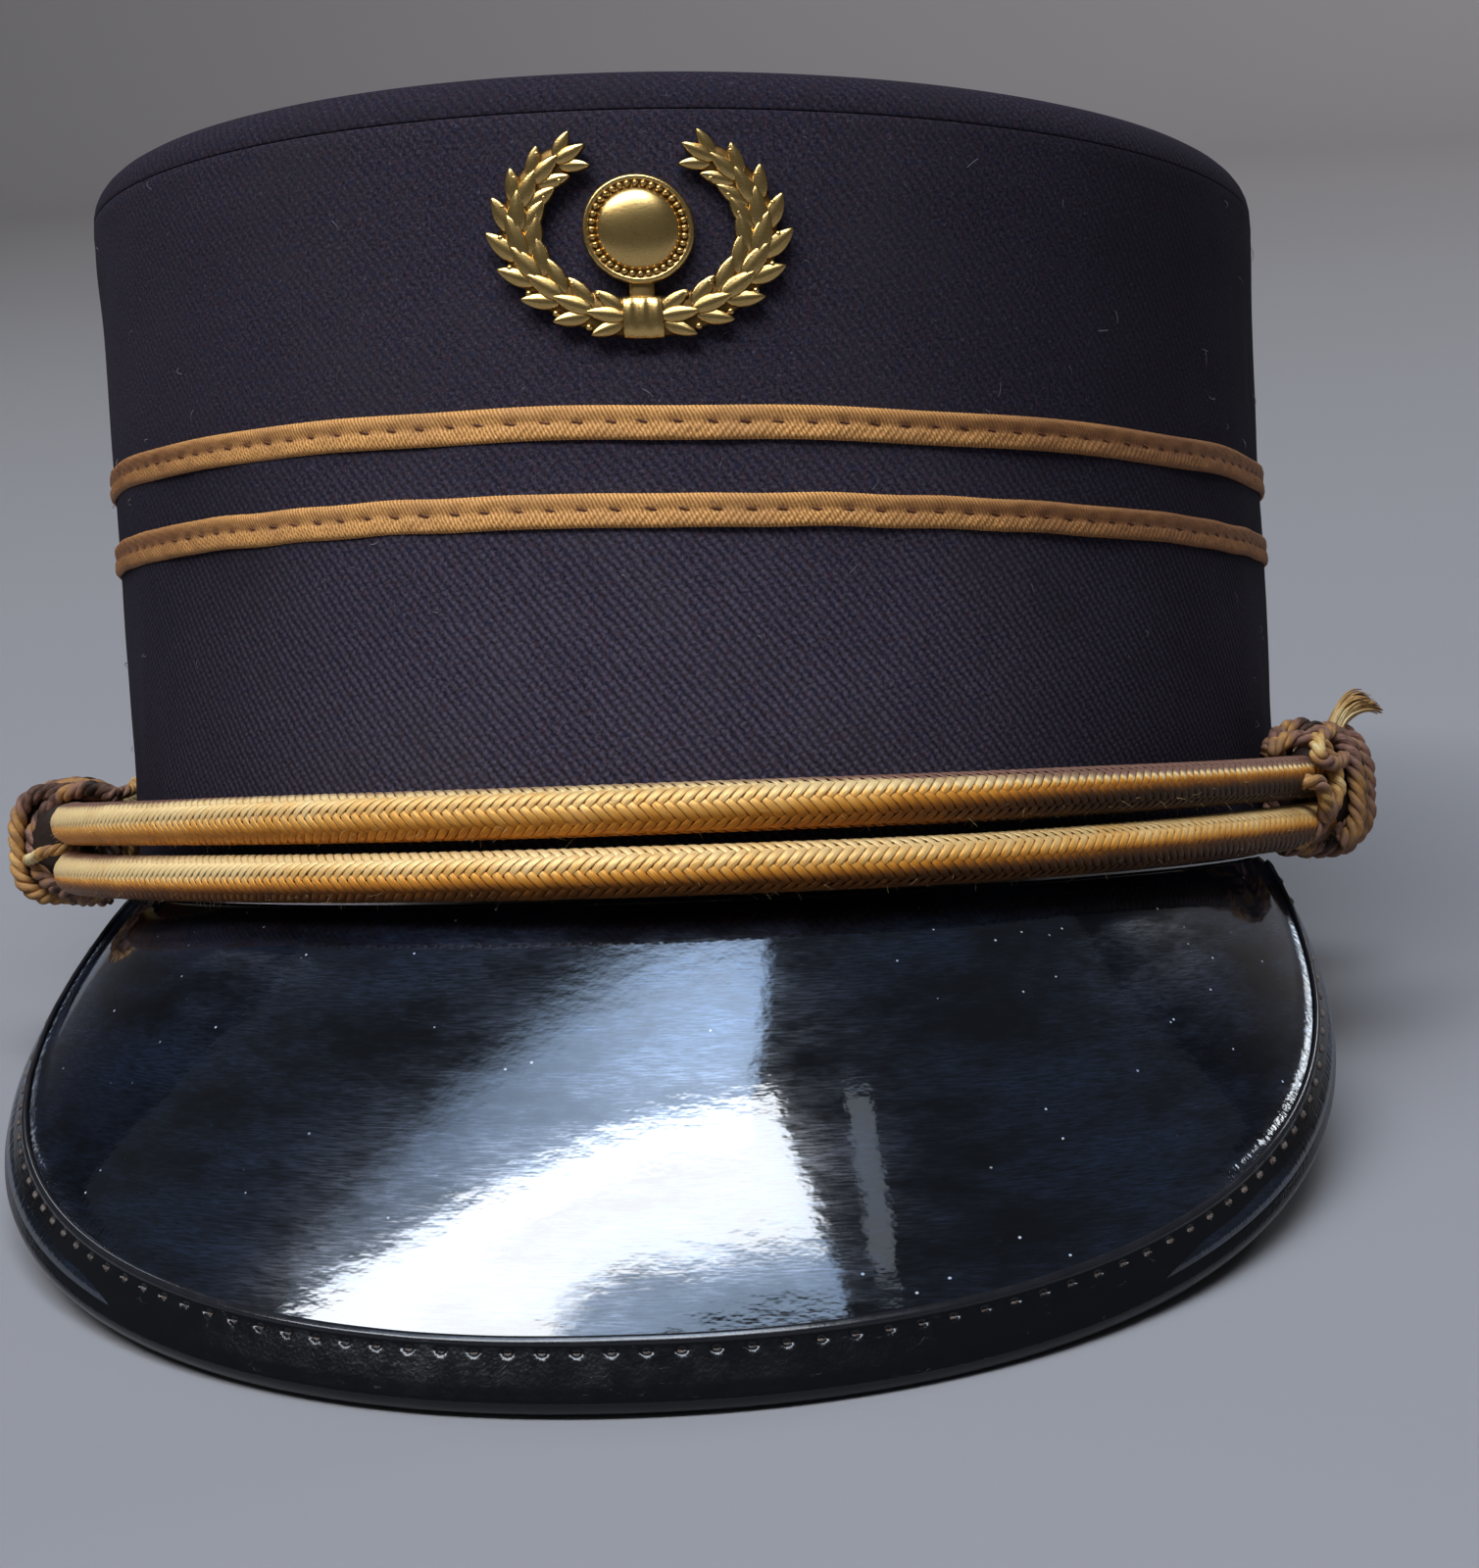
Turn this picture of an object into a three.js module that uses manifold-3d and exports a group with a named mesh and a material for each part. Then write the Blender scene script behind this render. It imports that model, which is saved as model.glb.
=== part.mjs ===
// A uniform kepi: a stiffened wool crown with two gold braid stripes, a patent leather peak with a bound
// edge, a doubled gold cord across the front held by a wound knot and a button at each side, and a gilt badge.
// Millimetres, +Z up. The kepi is modelled in its own upright frame, front towards -Y, with z = 0 at the lower
// edge of the crown, and is then leaned back onto the peak's edge and the back of the crown's edge.
import * as THREE from "three";
import { mergeVertices } from "three/addons/utils/BufferGeometryUtils.js";
import Module from "manifold-3d";

const { Vector2, Vector3 } = THREE;
const { cos, sin, PI, abs, min, max } = Math;
const radians = THREE.MathUtils.degToRad;
const lerp = THREE.MathUtils.lerp;

// Crown
const RIM_HALF_WIDTH = 84.6;
const DEPTH_OVER_WIDTH = 15.4; // the half depth is this much more than the half width
const CROWN_HEIGHT = 99.3;
const CLOTH = 2; // the wall, cloth and stiffener together
const TOP_EDGE_RADIUS = 5;
const TOP_SEAM = 5.6; // the top is turned down over the edge, to a seam this far under it
const TOP_RING = 12; // width of the outer ring of the top's flat, in from the wall
const GAP = 0.35; // between pieces that touch
const CROWN_STEPS = 60;

// Half width above that of the rim, by height: a slight flare, a pinch under the top band, a fuller band
const CROWN_PROFILE = [
  { height: 0, wider: 0 },
  { height: 26, wider: 0.1 },
  { height: 52, wider: 0.4 },
  { height: 78, wider: 0.6 },
  { height: 88, wider: 1.2 },
  { height: 94.3, wider: 1.2 },
  { height: 99.3, wider: 1.2 },
];

// How the soft crown has settled out of true, by height: a shift to +X and a slope along X
const SETTLED = [
  { height: 0, shift: 2, slope: 0 },
  { height: 18, shift: 1.6, slope: -0.006 },
  { height: 51, shift: 0.8, slope: -0.0285 },
  { height: 94.3, shift: -0.2, slope: -0.0206 },
  { height: 99.3, shift: -0.2, slope: -0.0206 },
];

// Stripes
const STRIPE_WIDTH = 4.1;
const STRIPE_THICKNESS = 0.7;
const STRIPE_DROOP = 0.00012; // each side hangs this much lower, times x squared
const STRIPE_HEIGHTS = { stripe_upper: 56.8, stripe_lower: 46.35 };

// Peak
const PEAK_LENGTH = 63.5; // along its slope at the front centre, over the binding
const PEAK_HALF_ANGLE = radians(70.4);
const PEAK_ROUNDNESS = { power: 2.35, root: 0.72 };
const PEAK_SLOPE = { front: radians(57), side: radians(52), turn: radians(3.6) };
const PEAK_SKEW = -0.045; // the peak is this much shorter at its right end, of its length
const PEAK_THICKNESS = 2;
const PEAK_BOW = 1.4; // it is arched along its slope by this much at the front, less where it is shorter
const PEAK_LIP = 1.8; // the flat inner lip that lies under the rim
const PEAK_LAST = 0.985; // the end sections lie just short of the point
const PEAK_STEPS = 36;

// Binding of the peak's edge
const BINDING_WIDTH = { front: 8, side: 7.2 };
const BINDING_WALL = 0.8;
const BINDING_MOST_OF_END = 0.8; // at the ends it takes this much of the peak's length

// Chin cord: one cord in a closed loop, doubled across the front, by angle from the front
const CORD_RADIUS = 3.2;
const CORD_SIDES = 10;
const CORD_ROUTE = [
  { angle: -80, outward: 9.9, upper: 9.9, lower: 3.2 },
  { angle: -76, outward: 10.9, upper: 9.9, lower: 3.2 },
  { angle: -68, outward: 10, upper: 9.9, lower: 3.1 },
  { angle: -56, outward: 6.4, upper: 10.1, lower: 3.1 },
  { angle: -42, outward: 4, upper: 10.3, lower: 3.15 },
  { angle: -25, outward: 3.6, upper: 10.5, lower: 3.2 },
  { angle: -8, outward: 3.6, upper: 10.6, lower: 3.25 },
  { angle: 8, outward: 3.6, upper: 10.7, lower: 3.25 },
  { angle: 25, outward: 3.6, upper: 10.7, lower: 3.2 },
  { angle: 42, outward: 3.7, upper: 10.8, lower: 3.5 },
  { angle: 56, outward: 4.9, upper: 10.9, lower: 3.9 },
  { angle: 68, outward: 7.5, upper: 11.1, lower: 4.3 },
  { angle: 74, outward: 7.5, upper: 11.1, lower: 4.4 },
  { angle: 80, outward: 6.4, upper: 11.1, lower: 4.4 },
];
const EYE_RADIUS = 5.6; // the cord's turn round each button's shank
const EYE_OUTWARD = 5;
const EYE_ANGLES = [90, 45, 0, -45, -90];

// Side buttons, hidden behind the knots
const BUTTON = { shank: 1.8, disc: 6.5, thickness: 2, rounding: 0.6, room: 0.8 };

// Knots: wraps wound round both strands of the cord
const KNOTS = {
  knot_left: { centre: [-91, -23, 6.5], turn: radians(-2), halfWidth: 8.2, above: 9.8, below: 8.5 },
  knot_right: { centre: [89.7, -32, 7.5], turn: radians(-13), halfWidth: 7.4, above: 10.4, below: 8.5 },
};
const KNOT_LENGTH = 11.8;
const KNOT_WRAPS = 4;
const WRAP_DEPTH = 0.7;
const KNOT_BORE = { halfWidth: 4.6, halfHeight: 7.9, squareness: 0.5 };
const TAIL = { base: [94, -30, 17.3], tip: [98.9, -29, 21.4], thin: 1.1, thick: 1.8 };

// Badge: an open laurel wreath round a domed roundel
const BADGE = { angle: radians(3.2), height: 79.5, thickness: 1.2, halfWidth: 17, halfHeight: 13 };
const WREATH_BAND = 5.2;
const WREATH_OPEN = radians(24); // half of the gap at the top
const WREATH_LEAVES = 7; // down each side
const LEAF_DEPTH = 1.3;
const ROUNDEL = { radius: 6.4, dome: 1.8, tie: 4.5 };

const COLOURS = {
  cloth: { color: 0x1d1826, roughness: 0.95, metalness: 0 },
  braid: { color: 0x9a6a2e, roughness: 0.6, metalness: 0.2 },
  cord: { color: 0xc0914a, roughness: 0.55, metalness: 0.3 },
  tarnish: { color: 0x6f5433, roughness: 0.65, metalness: 0.25 },
  leather: { color: 0x0b0d10, roughness: 0.12, metalness: 0 },
  gilt: { color: 0xd0a339, roughness: 0.28, metalness: 1 },
};

const wasm = await Module();
wasm.setup();

/** Values of a table at a height, in straight lines between its rows. */
function rowAt(table, height, column) {
  const after = table.findIndex((row) => row.height >= height);
  if (after <= 0) return table[max(after, 0)][column];
  const low = table[after - 1];
  const high = table[after];
  return lerp(low[column], high[column], (height - low.height) / (high.height - low.height));
}

/** Point at an angle from the front and a height, moved outward from the crown's wall. */
function crownPoint(angle, height, outward = 0, lift = 0) {
  const h = min(max(height, 0), CROWN_HEIGHT);
  const halfWidth = RIM_HALF_WIDTH + rowAt(CROWN_PROFILE, h, "wider");
  const halfDepth = halfWidth + DEPTH_OVER_WIDTH;
  const normal = crownNormal(angle);
  const point = new Vector3(halfWidth * sin(angle), -halfDepth * cos(angle), height + lift);
  point.addScaledVector(normal, outward);
  point.z += rowAt(SETTLED, h, "slope") * point.x;
  point.x += rowAt(SETTLED, h, "shift");
  return point;
}

/** Level direction away from the crown's wall at an angle. */
function crownNormal(angle) {
  const halfDepth = RIM_HALF_WIDTH + DEPTH_OVER_WIDTH;
  return new Vector3(halfDepth * sin(angle), -RIM_HALF_WIDTH * cos(angle), 0).normalize();
}

/** Closed solid through rings of equally many points; the last ring joins the first, or flat ends close it. */
function loft(rings, { joined = false, section = null } = {}) {
  const count = rings[0].length;
  const index = [];
  const spans = joined ? rings.length : rings.length - 1;
  for (let i = 0; i < spans; i++) {
    const near = i * count;
    const far = ((i + 1) % rings.length) * count;
    for (let j = 0; j < count; j++) {
      const k = (j + 1) % count;
      index.push(near + j, near + k, far + k, near + j, far + k, far + j);
    }
  }
  if (!joined) {
    const last = (rings.length - 1) * count;
    const turned = THREE.ShapeUtils.area(section) < 0;
    for (const [a, b, c] of THREE.ShapeUtils.triangulateShape(section, [])) {
      const [p, q, r] = turned ? [a, c, b] : [a, b, c];
      index.push(p, r, q, last + p, last + q, last + r);
    }
  }
  const geometry = new THREE.BufferGeometry().setFromPoints(rings.flat());
  geometry.setIndex(index);
  return facingOut(geometry);
}

/** Turns the faces round where the signed volume says that they face in. */
function facingOut(geometry) {
  const at = geometry.getAttribute("position");
  const index = geometry.getIndex().array;
  const [a, b, c] = [new Vector3(), new Vector3(), new Vector3()];
  let volume = 0;
  for (let i = 0; i < index.length; i += 3) {
    a.fromBufferAttribute(at, index[i]);
    b.fromBufferAttribute(at, index[i + 1]);
    c.fromBufferAttribute(at, index[i + 2]);
    volume += a.dot(b.cross(c));
  }
  if (volume < 0) {
    for (let i = 0; i < index.length; i += 3) {
      [index[i + 1], index[i + 2]] = [index[i + 2], index[i + 1]];
    }
  }
  geometry.computeVertexNormals();
  return geometry;
}

/** The geometry with only positions and with its shared points merged. */
function merged(geometry) {
  geometry.deleteAttribute("normal");
  geometry.deleteAttribute("uv");
  return mergeVertices(geometry, 1e-4);
}

/** A named mesh in one of the finishes. */
function piece(name, geometry, finish) {
  const mesh = new THREE.Mesh(geometry, new THREE.MeshStandardMaterial(COLOURS[finish]));
  mesh.name = name;
  return mesh;
}

/** Angles all round, or from one end to the other. */
function steps(count, from, to) {
  return Array.from({ length: count }, (_, i) => lerp(from, to, i / count));
}

/** The crown's side: an upright wall, open at both ends. */
function crownSide() {
  const wall = CROWN_PROFILE.filter(({ height }) => height < CROWN_HEIGHT - TOP_SEAM);
  const heights = [...wall.map(({ height }) => height), CROWN_HEIGHT - TOP_SEAM];
  const section = [
    ...heights.map((height) => ({ height, outward: 0 })),
    ...heights.toReversed().map((height) => ({ height, outward: -CLOTH })),
  ];
  const rings = steps(CROWN_STEPS, 0, 2 * PI).map((angle) =>
    section.map(({ height, outward }) => crownPoint(angle, height, outward)),
  );
  return piece("crown_side", loft(rings, { joined: true }), "cloth");
}

/** The flat oval top, turned down over a rounded edge to its seam with the side. */
function crownTop() {
  const corner = (radius) =>
    [0, 30, 60, 90].map((degrees) => ({
      height: CROWN_HEIGHT - TOP_EDGE_RADIUS + radius * sin(radians(degrees)),
      outward: radius * cos(radians(degrees)) - TOP_EDGE_RADIUS,
    }));
  const seam = CROWN_HEIGHT - TOP_SEAM + GAP;
  const profile = [
    { height: CROWN_HEIGHT - CLOTH, outward: -TOP_RING },
    ...corner(TOP_EDGE_RADIUS - CLOTH).reverse(),
    { height: seam, outward: -CLOTH },
    { height: seam, outward: 0 },
    ...corner(TOP_EDGE_RADIUS),
    { height: CROWN_HEIGHT, outward: -TOP_RING },
  ];
  const rings = profile.map(({ height, outward }) =>
    steps(CROWN_STEPS, 0, 2 * PI).map((angle) => crownPoint(angle, height, outward)),
  );
  const section = rings[0].map((point) => new Vector2(point.x, point.y));
  return piece("crown_top", loft(rings, { section }), "cloth");
}

/** A flat braid round the crown, drooping a little to each side. */
function stripe(name, middle) {
  const low = middle - STRIPE_WIDTH / 2;
  const high = middle + STRIPE_WIDTH / 2;
  const inner = GAP;
  const outer = GAP + STRIPE_THICKNESS;
  const corners = [
    { height: low, outward: inner },
    { height: low, outward: outer },
    { height: high, outward: outer },
    { height: high, outward: inner },
  ];
  const rings = steps(CROWN_STEPS, 0, 2 * PI).map((angle) => {
    const droop = STRIPE_DROOP * (RIM_HALF_WIDTH * sin(angle)) ** 2;
    return corners.map(({ height, outward }) => crownPoint(angle, height, outward, -droop));
  });
  return piece(name, loft(rings, { joined: true }), "braid");
}

/** How long the peak is along its slope at an angle. */
function peakLength(angle) {
  const part = abs(angle) / PEAK_HALF_ANGLE;
  const round = (1 - part ** PEAK_ROUNDNESS.power) ** PEAK_ROUNDNESS.root;
  return PEAK_LENGTH * round * (1 + (PEAK_SKEW * angle) / PEAK_HALF_ANGLE);
}

/** How wide the binding is on the peak at an angle. */
function bindingWidth(angle) {
  const width = lerp(BINDING_WIDTH.front, BINDING_WIDTH.side, abs(angle) / PEAK_HALF_ANGLE);
  return min(width, BINDING_MOST_OF_END * peakLength(angle));
}

/** Point of the peak: a distance down its slope from the rim, and a depth under its upper face. */
function peakPoint(angle, along, depth) {
  const part = angle / PEAK_HALF_ANGLE;
  const slope = lerp(PEAK_SLOPE.front, PEAK_SLOPE.side, part * part) + PEAK_SLOPE.turn * part;
  const base = crownPoint(angle, 0);
  const normal = crownNormal(angle);
  const length = peakLength(angle);
  const arch = ((PEAK_BOW * length) / PEAK_LENGTH) * sin(PI * min(max(along / length, 0), 1));
  base.z -= GAP;
  if (along <= 0) {
    return base.addScaledVector(normal, along).add(new Vector3(0, 0, -depth));
  }
  const out = along * cos(slope) + (arch - depth) * sin(slope);
  const up = -along * sin(slope) + (arch - depth) * cos(slope);
  return base.addScaledVector(normal, out).add(new Vector3(0, 0, up));
}

/** Angles of the peak's sections, closer together towards its two ends. */
function peakAngles() {
  return Array.from({ length: PEAK_STEPS + 1 }, (_, i) => {
    const part = (2 * i) / PEAK_STEPS - 1;
    return PEAK_LAST * PEAK_HALF_ANGLE * sin((PI / 2) * part);
  });
}

/** The peak: one sheet of stiff leather from the lip under the rim to its bound edge. */
function peak() {
  const sectionAt = (angle) => {
    const edge = peakLength(angle) - BINDING_WALL - GAP;
    const marks = [0, 0.2, 0.4, 0.6, 0.8, 1].map((part) => max(part * edge, 0.01));
    const upper = [-PEAK_LIP, ...marks];
    return [
      ...upper.map((along) => [along, 0]),
      ...upper.toReversed().map((along) => [along, PEAK_THICKNESS]),
    ];
  };
  const angles = peakAngles();
  const rings = angles.map((angle) => sectionAt(angle).map(([along, depth]) => peakPoint(angle, along, depth)));
  const section = sectionAt(angles[0]).map(([along, depth]) => new Vector2(along, -depth));
  return piece("peak", loft(rings, { section }), "leather");
}

/** The binding: a strip folded over the peak's edge, open towards the crown. */
function peakBinding() {
  const sectionAt = (angle) => {
    const end = peakLength(angle);
    const start = end - bindingWidth(angle);
    const face = BINDING_WALL + GAP;
    const slot = end - BINDING_WALL;
    return [
      [start, -face],
      [end - 1.6, -face],
      [end - 0.4, -face / 3],
      [end, PEAK_THICKNESS / 2],
      [end - 0.4, PEAK_THICKNESS + face / 3],
      [end - 1.6, PEAK_THICKNESS + face],
      [start, PEAK_THICKNESS + face],
      [start, PEAK_THICKNESS + GAP],
      [slot, PEAK_THICKNESS + GAP],
      [slot, -GAP],
      [start, -GAP],
    ];
  };
  const angles = peakAngles();
  const rings = angles.map((angle) => sectionAt(angle).map(([along, depth]) => peakPoint(angle, along, depth)));
  const section = sectionAt(angles[0]).map(([along, depth]) => new Vector2(along, -depth));
  return piece("peak_binding", loft(rings, { section }), "leather");
}

/** Centre height of the cord's two strands at the left or right end. */
function eyeHeight(side) {
  const row = side < 0 ? CORD_ROUTE[0] : CORD_ROUTE.at(-1);
  return (row.upper + row.lower) / 2;
}

/** The cord's turn round a side button, from the upper strand to the lower one. */
function eyePoints(side) {
  const centre = crownPoint(side * (PI / 2), eyeHeight(side), EYE_OUTWARD);
  return EYE_ANGLES.map(radians).map(
    (turn) => new Vector3(centre.x, centre.y + EYE_RADIUS * cos(turn), centre.z + EYE_RADIUS * sin(turn)),
  );
}

/** The chin cord: over the front, round the right button, back under itself, round the left button. */
function chinCord() {
  const strand = (column) => CORD_ROUTE.map((row) => crownPoint(radians(row.angle), row[column], row.outward));
  const points = [
    ...strand("upper"),
    ...eyePoints(1),
    ...strand("lower").toReversed(),
    ...eyePoints(-1).toReversed(),
  ];
  const curve = new THREE.CatmullRomCurve3(points, true, "centripetal");
  const marks = steps(2 * points.length, 0, 1);
  const rings = marks.map((mark) => {
    const centre = curve.getPoint(mark);
    const along = curve.getTangent(mark);
    const away = new Vector3(centre.x, centre.y, 0).normalize();
    const across = new Vector3().crossVectors(along, away).normalize();
    const outward = new Vector3().crossVectors(across, along);
    return steps(CORD_SIDES, 0, 2 * PI).map((turn) =>
      centre
        .clone()
        .addScaledVector(outward, CORD_RADIUS * cos(turn))
        .addScaledVector(across, CORD_RADIUS * sin(turn)),
    );
  });
  return piece("chin_cord", loft(rings, { joined: true }), "cord");
}

/** A plain side button: a shank on the wall inside the cord's turn, and a disc over it. */
function sideButton(name, side) {
  const height = eyeHeight(side);
  const foot = crownPoint(side * (PI / 2), height, GAP);
  const under = EYE_OUTWARD + CORD_RADIUS + BUTTON.room;
  const profile = [
    [0, 0],
    [BUTTON.shank, 0],
    [BUTTON.shank, under],
    [BUTTON.disc, under],
    [BUTTON.disc, under + BUTTON.thickness - BUTTON.rounding],
    [BUTTON.disc - 2 * BUTTON.rounding, under + BUTTON.thickness],
    [0, under + BUTTON.thickness],
  ].map(([radius, out]) => new Vector2(radius, out));
  const lathe = merged(new THREE.LatheGeometry(profile, 20));
  const geometry = facingOut(withoutSlivers(lathe));
  const mesh = piece(name, geometry, "gilt");
  mesh.position.copy(foot);
  mesh.rotation.z = (-side * PI) / 2;
  return mesh;
}

/** Drops the triangles that lost their area when points on the axis were merged. */
function withoutSlivers(geometry) {
  const index = Array.from(geometry.getIndex().array);
  const kept = [];
  for (let i = 0; i < index.length; i += 3) {
    const [a, b, c] = index.slice(i, i + 3);
    if (a !== b && b !== c && c !== a) kept.push(a, b, c);
  }
  geometry.setIndex(kept);
  return geometry;
}

/** A sine or cosine raised to a power with its sign kept: under 1 it makes an oval squarer. */
function squared(value, power) {
  return Math.sign(value) * abs(value) ** power;
}

/** A knot: a barrel of wraps round the strands, with an oval way through it. */
function knot(name, { centre, turn, halfWidth, above, below }) {
  const along = new Vector3(sin(-turn), cos(turn), 0);
  const across = new Vector3(cos(turn), sin(turn), 0);
  const up = new Vector3(0, 0, 1);
  const outerMarks = 2 * KNOT_WRAPS;
  const rings = steps(24, 0, 2 * PI).map((angle) => {
    const at = (distance, wide, high, squareness = 1) =>
      new Vector3(...centre)
        .addScaledVector(along, distance)
        .addScaledVector(across, wide * squared(cos(angle), squareness))
        .addScaledVector(up, high * squared(sin(angle), squareness));
    const halfHeight = sin(angle) > 0 ? above : below;
    const outer = Array.from({ length: outerMarks + 1 }, (_, i) => {
      const distance = KNOT_LENGTH * (i / outerMarks - 0.5);
      const barrel = 1 - 0.14 * ((2 * distance) / KNOT_LENGTH) ** 2;
      const groove = i % 2 ? 0 : WRAP_DEPTH;
      return at(distance, barrel * halfWidth - groove, barrel * halfHeight - groove);
    });
    const half = KNOT_LENGTH / 2;
    return [
      ...outer,
      at(half, KNOT_BORE.halfWidth, KNOT_BORE.halfHeight, KNOT_BORE.squareness),
      at(-half, KNOT_BORE.halfWidth, KNOT_BORE.halfHeight, KNOT_BORE.squareness),
    ];
  });
  return piece(name, loft(rings, { joined: true }), "tarnish");
}

/** The short frayed end of the cord, thicker towards its tip. */
function knotTail() {
  const base = new Vector3(...TAIL.base);
  const tip = new Vector3(...TAIL.tip);
  const along = tip.clone().sub(base).normalize();
  const across = new Vector3(0, 1, 0).cross(along).normalize();
  const beside = new Vector3().crossVectors(along, across);
  const sides = steps(8, 0, 2 * PI);
  const rings = [0, 0.3, 0.6, 0.85, 1].map((part) => {
    const radius = part < 1 ? lerp(TAIL.thin, TAIL.thick, part) : 0.6 * TAIL.thick;
    const centre = base.clone().lerp(tip, part);
    return sides.map((turn) =>
      centre
        .clone()
        .addScaledVector(across, radius * cos(turn))
        .addScaledVector(beside, radius * sin(turn)),
    );
  });
  const section = sides.map((turn) => new Vector2(cos(turn), sin(turn)));
  return piece("knot_tail", loft(rings, { section }), "tarnish");
}

/** A geometry as a solid that can be joined to others. */
function solid(geometry) {
  const mesh = new wasm.Mesh({
    numProp: 3,
    vertProperties: new Float32Array(geometry.getAttribute("position").array),
    triVerts: new Uint32Array(geometry.getIndex().array),
  });
  return new wasm.Manifold(mesh);
}

/** Lays a flat shape on the front of the crown: x goes round it, y up and z away from it. */
function layOnCrown(geometry) {
  const at = geometry.getAttribute("position");
  const halfDepth = RIM_HALF_WIDTH + DEPTH_OVER_WIDTH;
  const roundness = RIM_HALF_WIDTH ** 2 / halfDepth;
  for (let i = 0; i < at.count; i++) {
    const angle = BADGE.angle + at.getX(i) / RIM_HALF_WIDTH;
    const relief = (at.getX(i) ** 2 / roundness) * 0.02;
    const point = crownPoint(angle, BADGE.height + at.getY(i), GAP + at.getZ(i) + relief);
    at.setXYZ(i, point.x, point.y, point.z);
  }
  return facingOut(geometry);
}

/** The badge: a laurel wreath open at the top, tied at its foot to a domed roundel in its middle. */
function badge() {
  const outline = [];
  const marks = 4 * WREATH_LEAVES;
  const reach = PI - WREATH_OPEN;
  for (let i = -marks; i <= marks; i++) {
    const angle = (reach * i) / marks;
    const leaf = i % 4 === 0 ? 0 : LEAF_DEPTH * (1 - ((abs(i) % 4) - 1) / 3);
    outline.push([sin(angle) * (BADGE.halfWidth - leaf), -cos(angle) * (BADGE.halfHeight - leaf)]);
  }
  for (let i = marks; i >= -marks; i -= 2) {
    const angle = (reach * i) / marks;
    const wide = BADGE.halfWidth - WREATH_BAND;
    const high = BADGE.halfHeight - WREATH_BAND;
    outline.push([sin(angle) * wide, -cos(angle) * high]);
  }
  const wreathShape = new THREE.Shape(outline.map(([x, y]) => new Vector2(x, y)));
  const wreath = new THREE.ExtrudeGeometry(wreathShape, { depth: BADGE.thickness, bevelEnabled: false });
  const tieShape = new THREE.Shape([
    new Vector2(-ROUNDEL.tie / 2, -BADGE.halfHeight + 1),
    new Vector2(ROUNDEL.tie / 2, -BADGE.halfHeight + 1),
    new Vector2(ROUNDEL.tie / 2, 0),
    new Vector2(-ROUNDEL.tie / 2, 0),
  ]);
  const tie = new THREE.ExtrudeGeometry(tieShape, { depth: BADGE.thickness * 0.9, bevelEnabled: false });
  const profile = [[0, 0], [ROUNDEL.radius, 0], [ROUNDEL.radius, 1.4]];
  for (const part of [0.85, 0.6, 0.3]) {
    profile.push([ROUNDEL.radius * part, 1.4 + ROUNDEL.dome * (1 - part * part)]);
  }
  profile.push([0, 1.4 + ROUNDEL.dome]);
  const roundel = new THREE.LatheGeometry(profile.map(([r, z]) => new Vector2(r, z)), 20).rotateX(PI / 2);
  const parts = [wreath, tie, roundel].map((shape) => facingOut(withoutSlivers(merged(shape))));
  const joined = parts.map(solid).reduce((whole, next) => whole.add(next)).getMesh();
  const geometry = new THREE.BufferGeometry();
  geometry.setAttribute("position", new THREE.BufferAttribute(joined.vertProperties, 3));
  geometry.setIndex(new THREE.BufferAttribute(joined.triVerts, 1));
  return piece("badge", layOnCrown(geometry), "gilt");
}

/** Lowest height of a mesh's points when the group is leaned back by an angle. */
function lowest(mesh, lean, chosen) {
  const at = mesh.geometry.getAttribute("position");
  let low = Infinity;
  for (let i = 0; i < at.count; i++) {
    const y = at.getY(i);
    const z = at.getZ(i);
    if (chosen(y)) low = min(low, z * cos(lean) - y * sin(lean));
  }
  return low;
}

/** The lean at which the peak's edge and the back of the rim stand equally low, found by halving. */
function restingLean(front, back) {
  let [less, more] = [0, radians(30)];
  for (let i = 0; i < 40; i++) {
    const lean = (less + more) / 2;
    const frontLow = lowest(front, lean, (y) => y < 0);
    const backLow = lowest(back, lean, (y) => y > 0);
    if (frontLow < backLow) less = lean;
    else more = lean;
  }
  return (less + more) / 2;
}

const kepi = new THREE.Group();
const side = crownSide();
const binding = peakBinding();
kepi.add(side, crownTop(), peak(), binding, chinCord(), badge(), knotTail());
for (const [name, height] of Object.entries(STRIPE_HEIGHTS)) kepi.add(stripe(name, height));
for (const [name, form] of Object.entries(KNOTS)) kepi.add(knot(name, form));
kepi.add(sideButton("side_button_left", -1), sideButton("side_button_right", 1));

// It leans back until it stands on the peak's edge and the back of its rim, with its middle over the origin.
kepi.rotation.x = -restingLean(binding, side);
kepi.updateMatrixWorld(true);
const bounds = new THREE.Box3().setFromObject(kepi, true);
const middle = bounds.getCenter(new Vector3());
kepi.position.set(-middle.x, -middle.y, -bounds.min.z);

export default kepi;
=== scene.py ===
import math

import bpy
import numpy as np
from mathutils import Matrix


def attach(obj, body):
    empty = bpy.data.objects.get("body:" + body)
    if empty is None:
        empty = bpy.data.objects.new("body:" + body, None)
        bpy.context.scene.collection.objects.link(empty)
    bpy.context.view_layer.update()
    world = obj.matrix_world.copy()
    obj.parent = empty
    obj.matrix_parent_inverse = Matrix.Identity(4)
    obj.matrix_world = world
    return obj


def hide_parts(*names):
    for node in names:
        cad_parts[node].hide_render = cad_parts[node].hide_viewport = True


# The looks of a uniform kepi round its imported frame. Shapes are worked out in the hat's own upright frame, in
# millimetres: front towards -y, +x to the viewer's right, z = 0 at the lower edge of the crown. seated() then
# leans them back as the kepi rests and turns them into metres.
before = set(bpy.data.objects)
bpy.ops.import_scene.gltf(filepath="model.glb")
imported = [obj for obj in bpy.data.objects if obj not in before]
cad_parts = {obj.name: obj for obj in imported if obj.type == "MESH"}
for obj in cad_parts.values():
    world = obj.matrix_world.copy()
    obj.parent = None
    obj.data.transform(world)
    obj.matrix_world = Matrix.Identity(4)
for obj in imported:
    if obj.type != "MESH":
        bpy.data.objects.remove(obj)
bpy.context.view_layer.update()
TURN = 2 * math.pi
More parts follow.
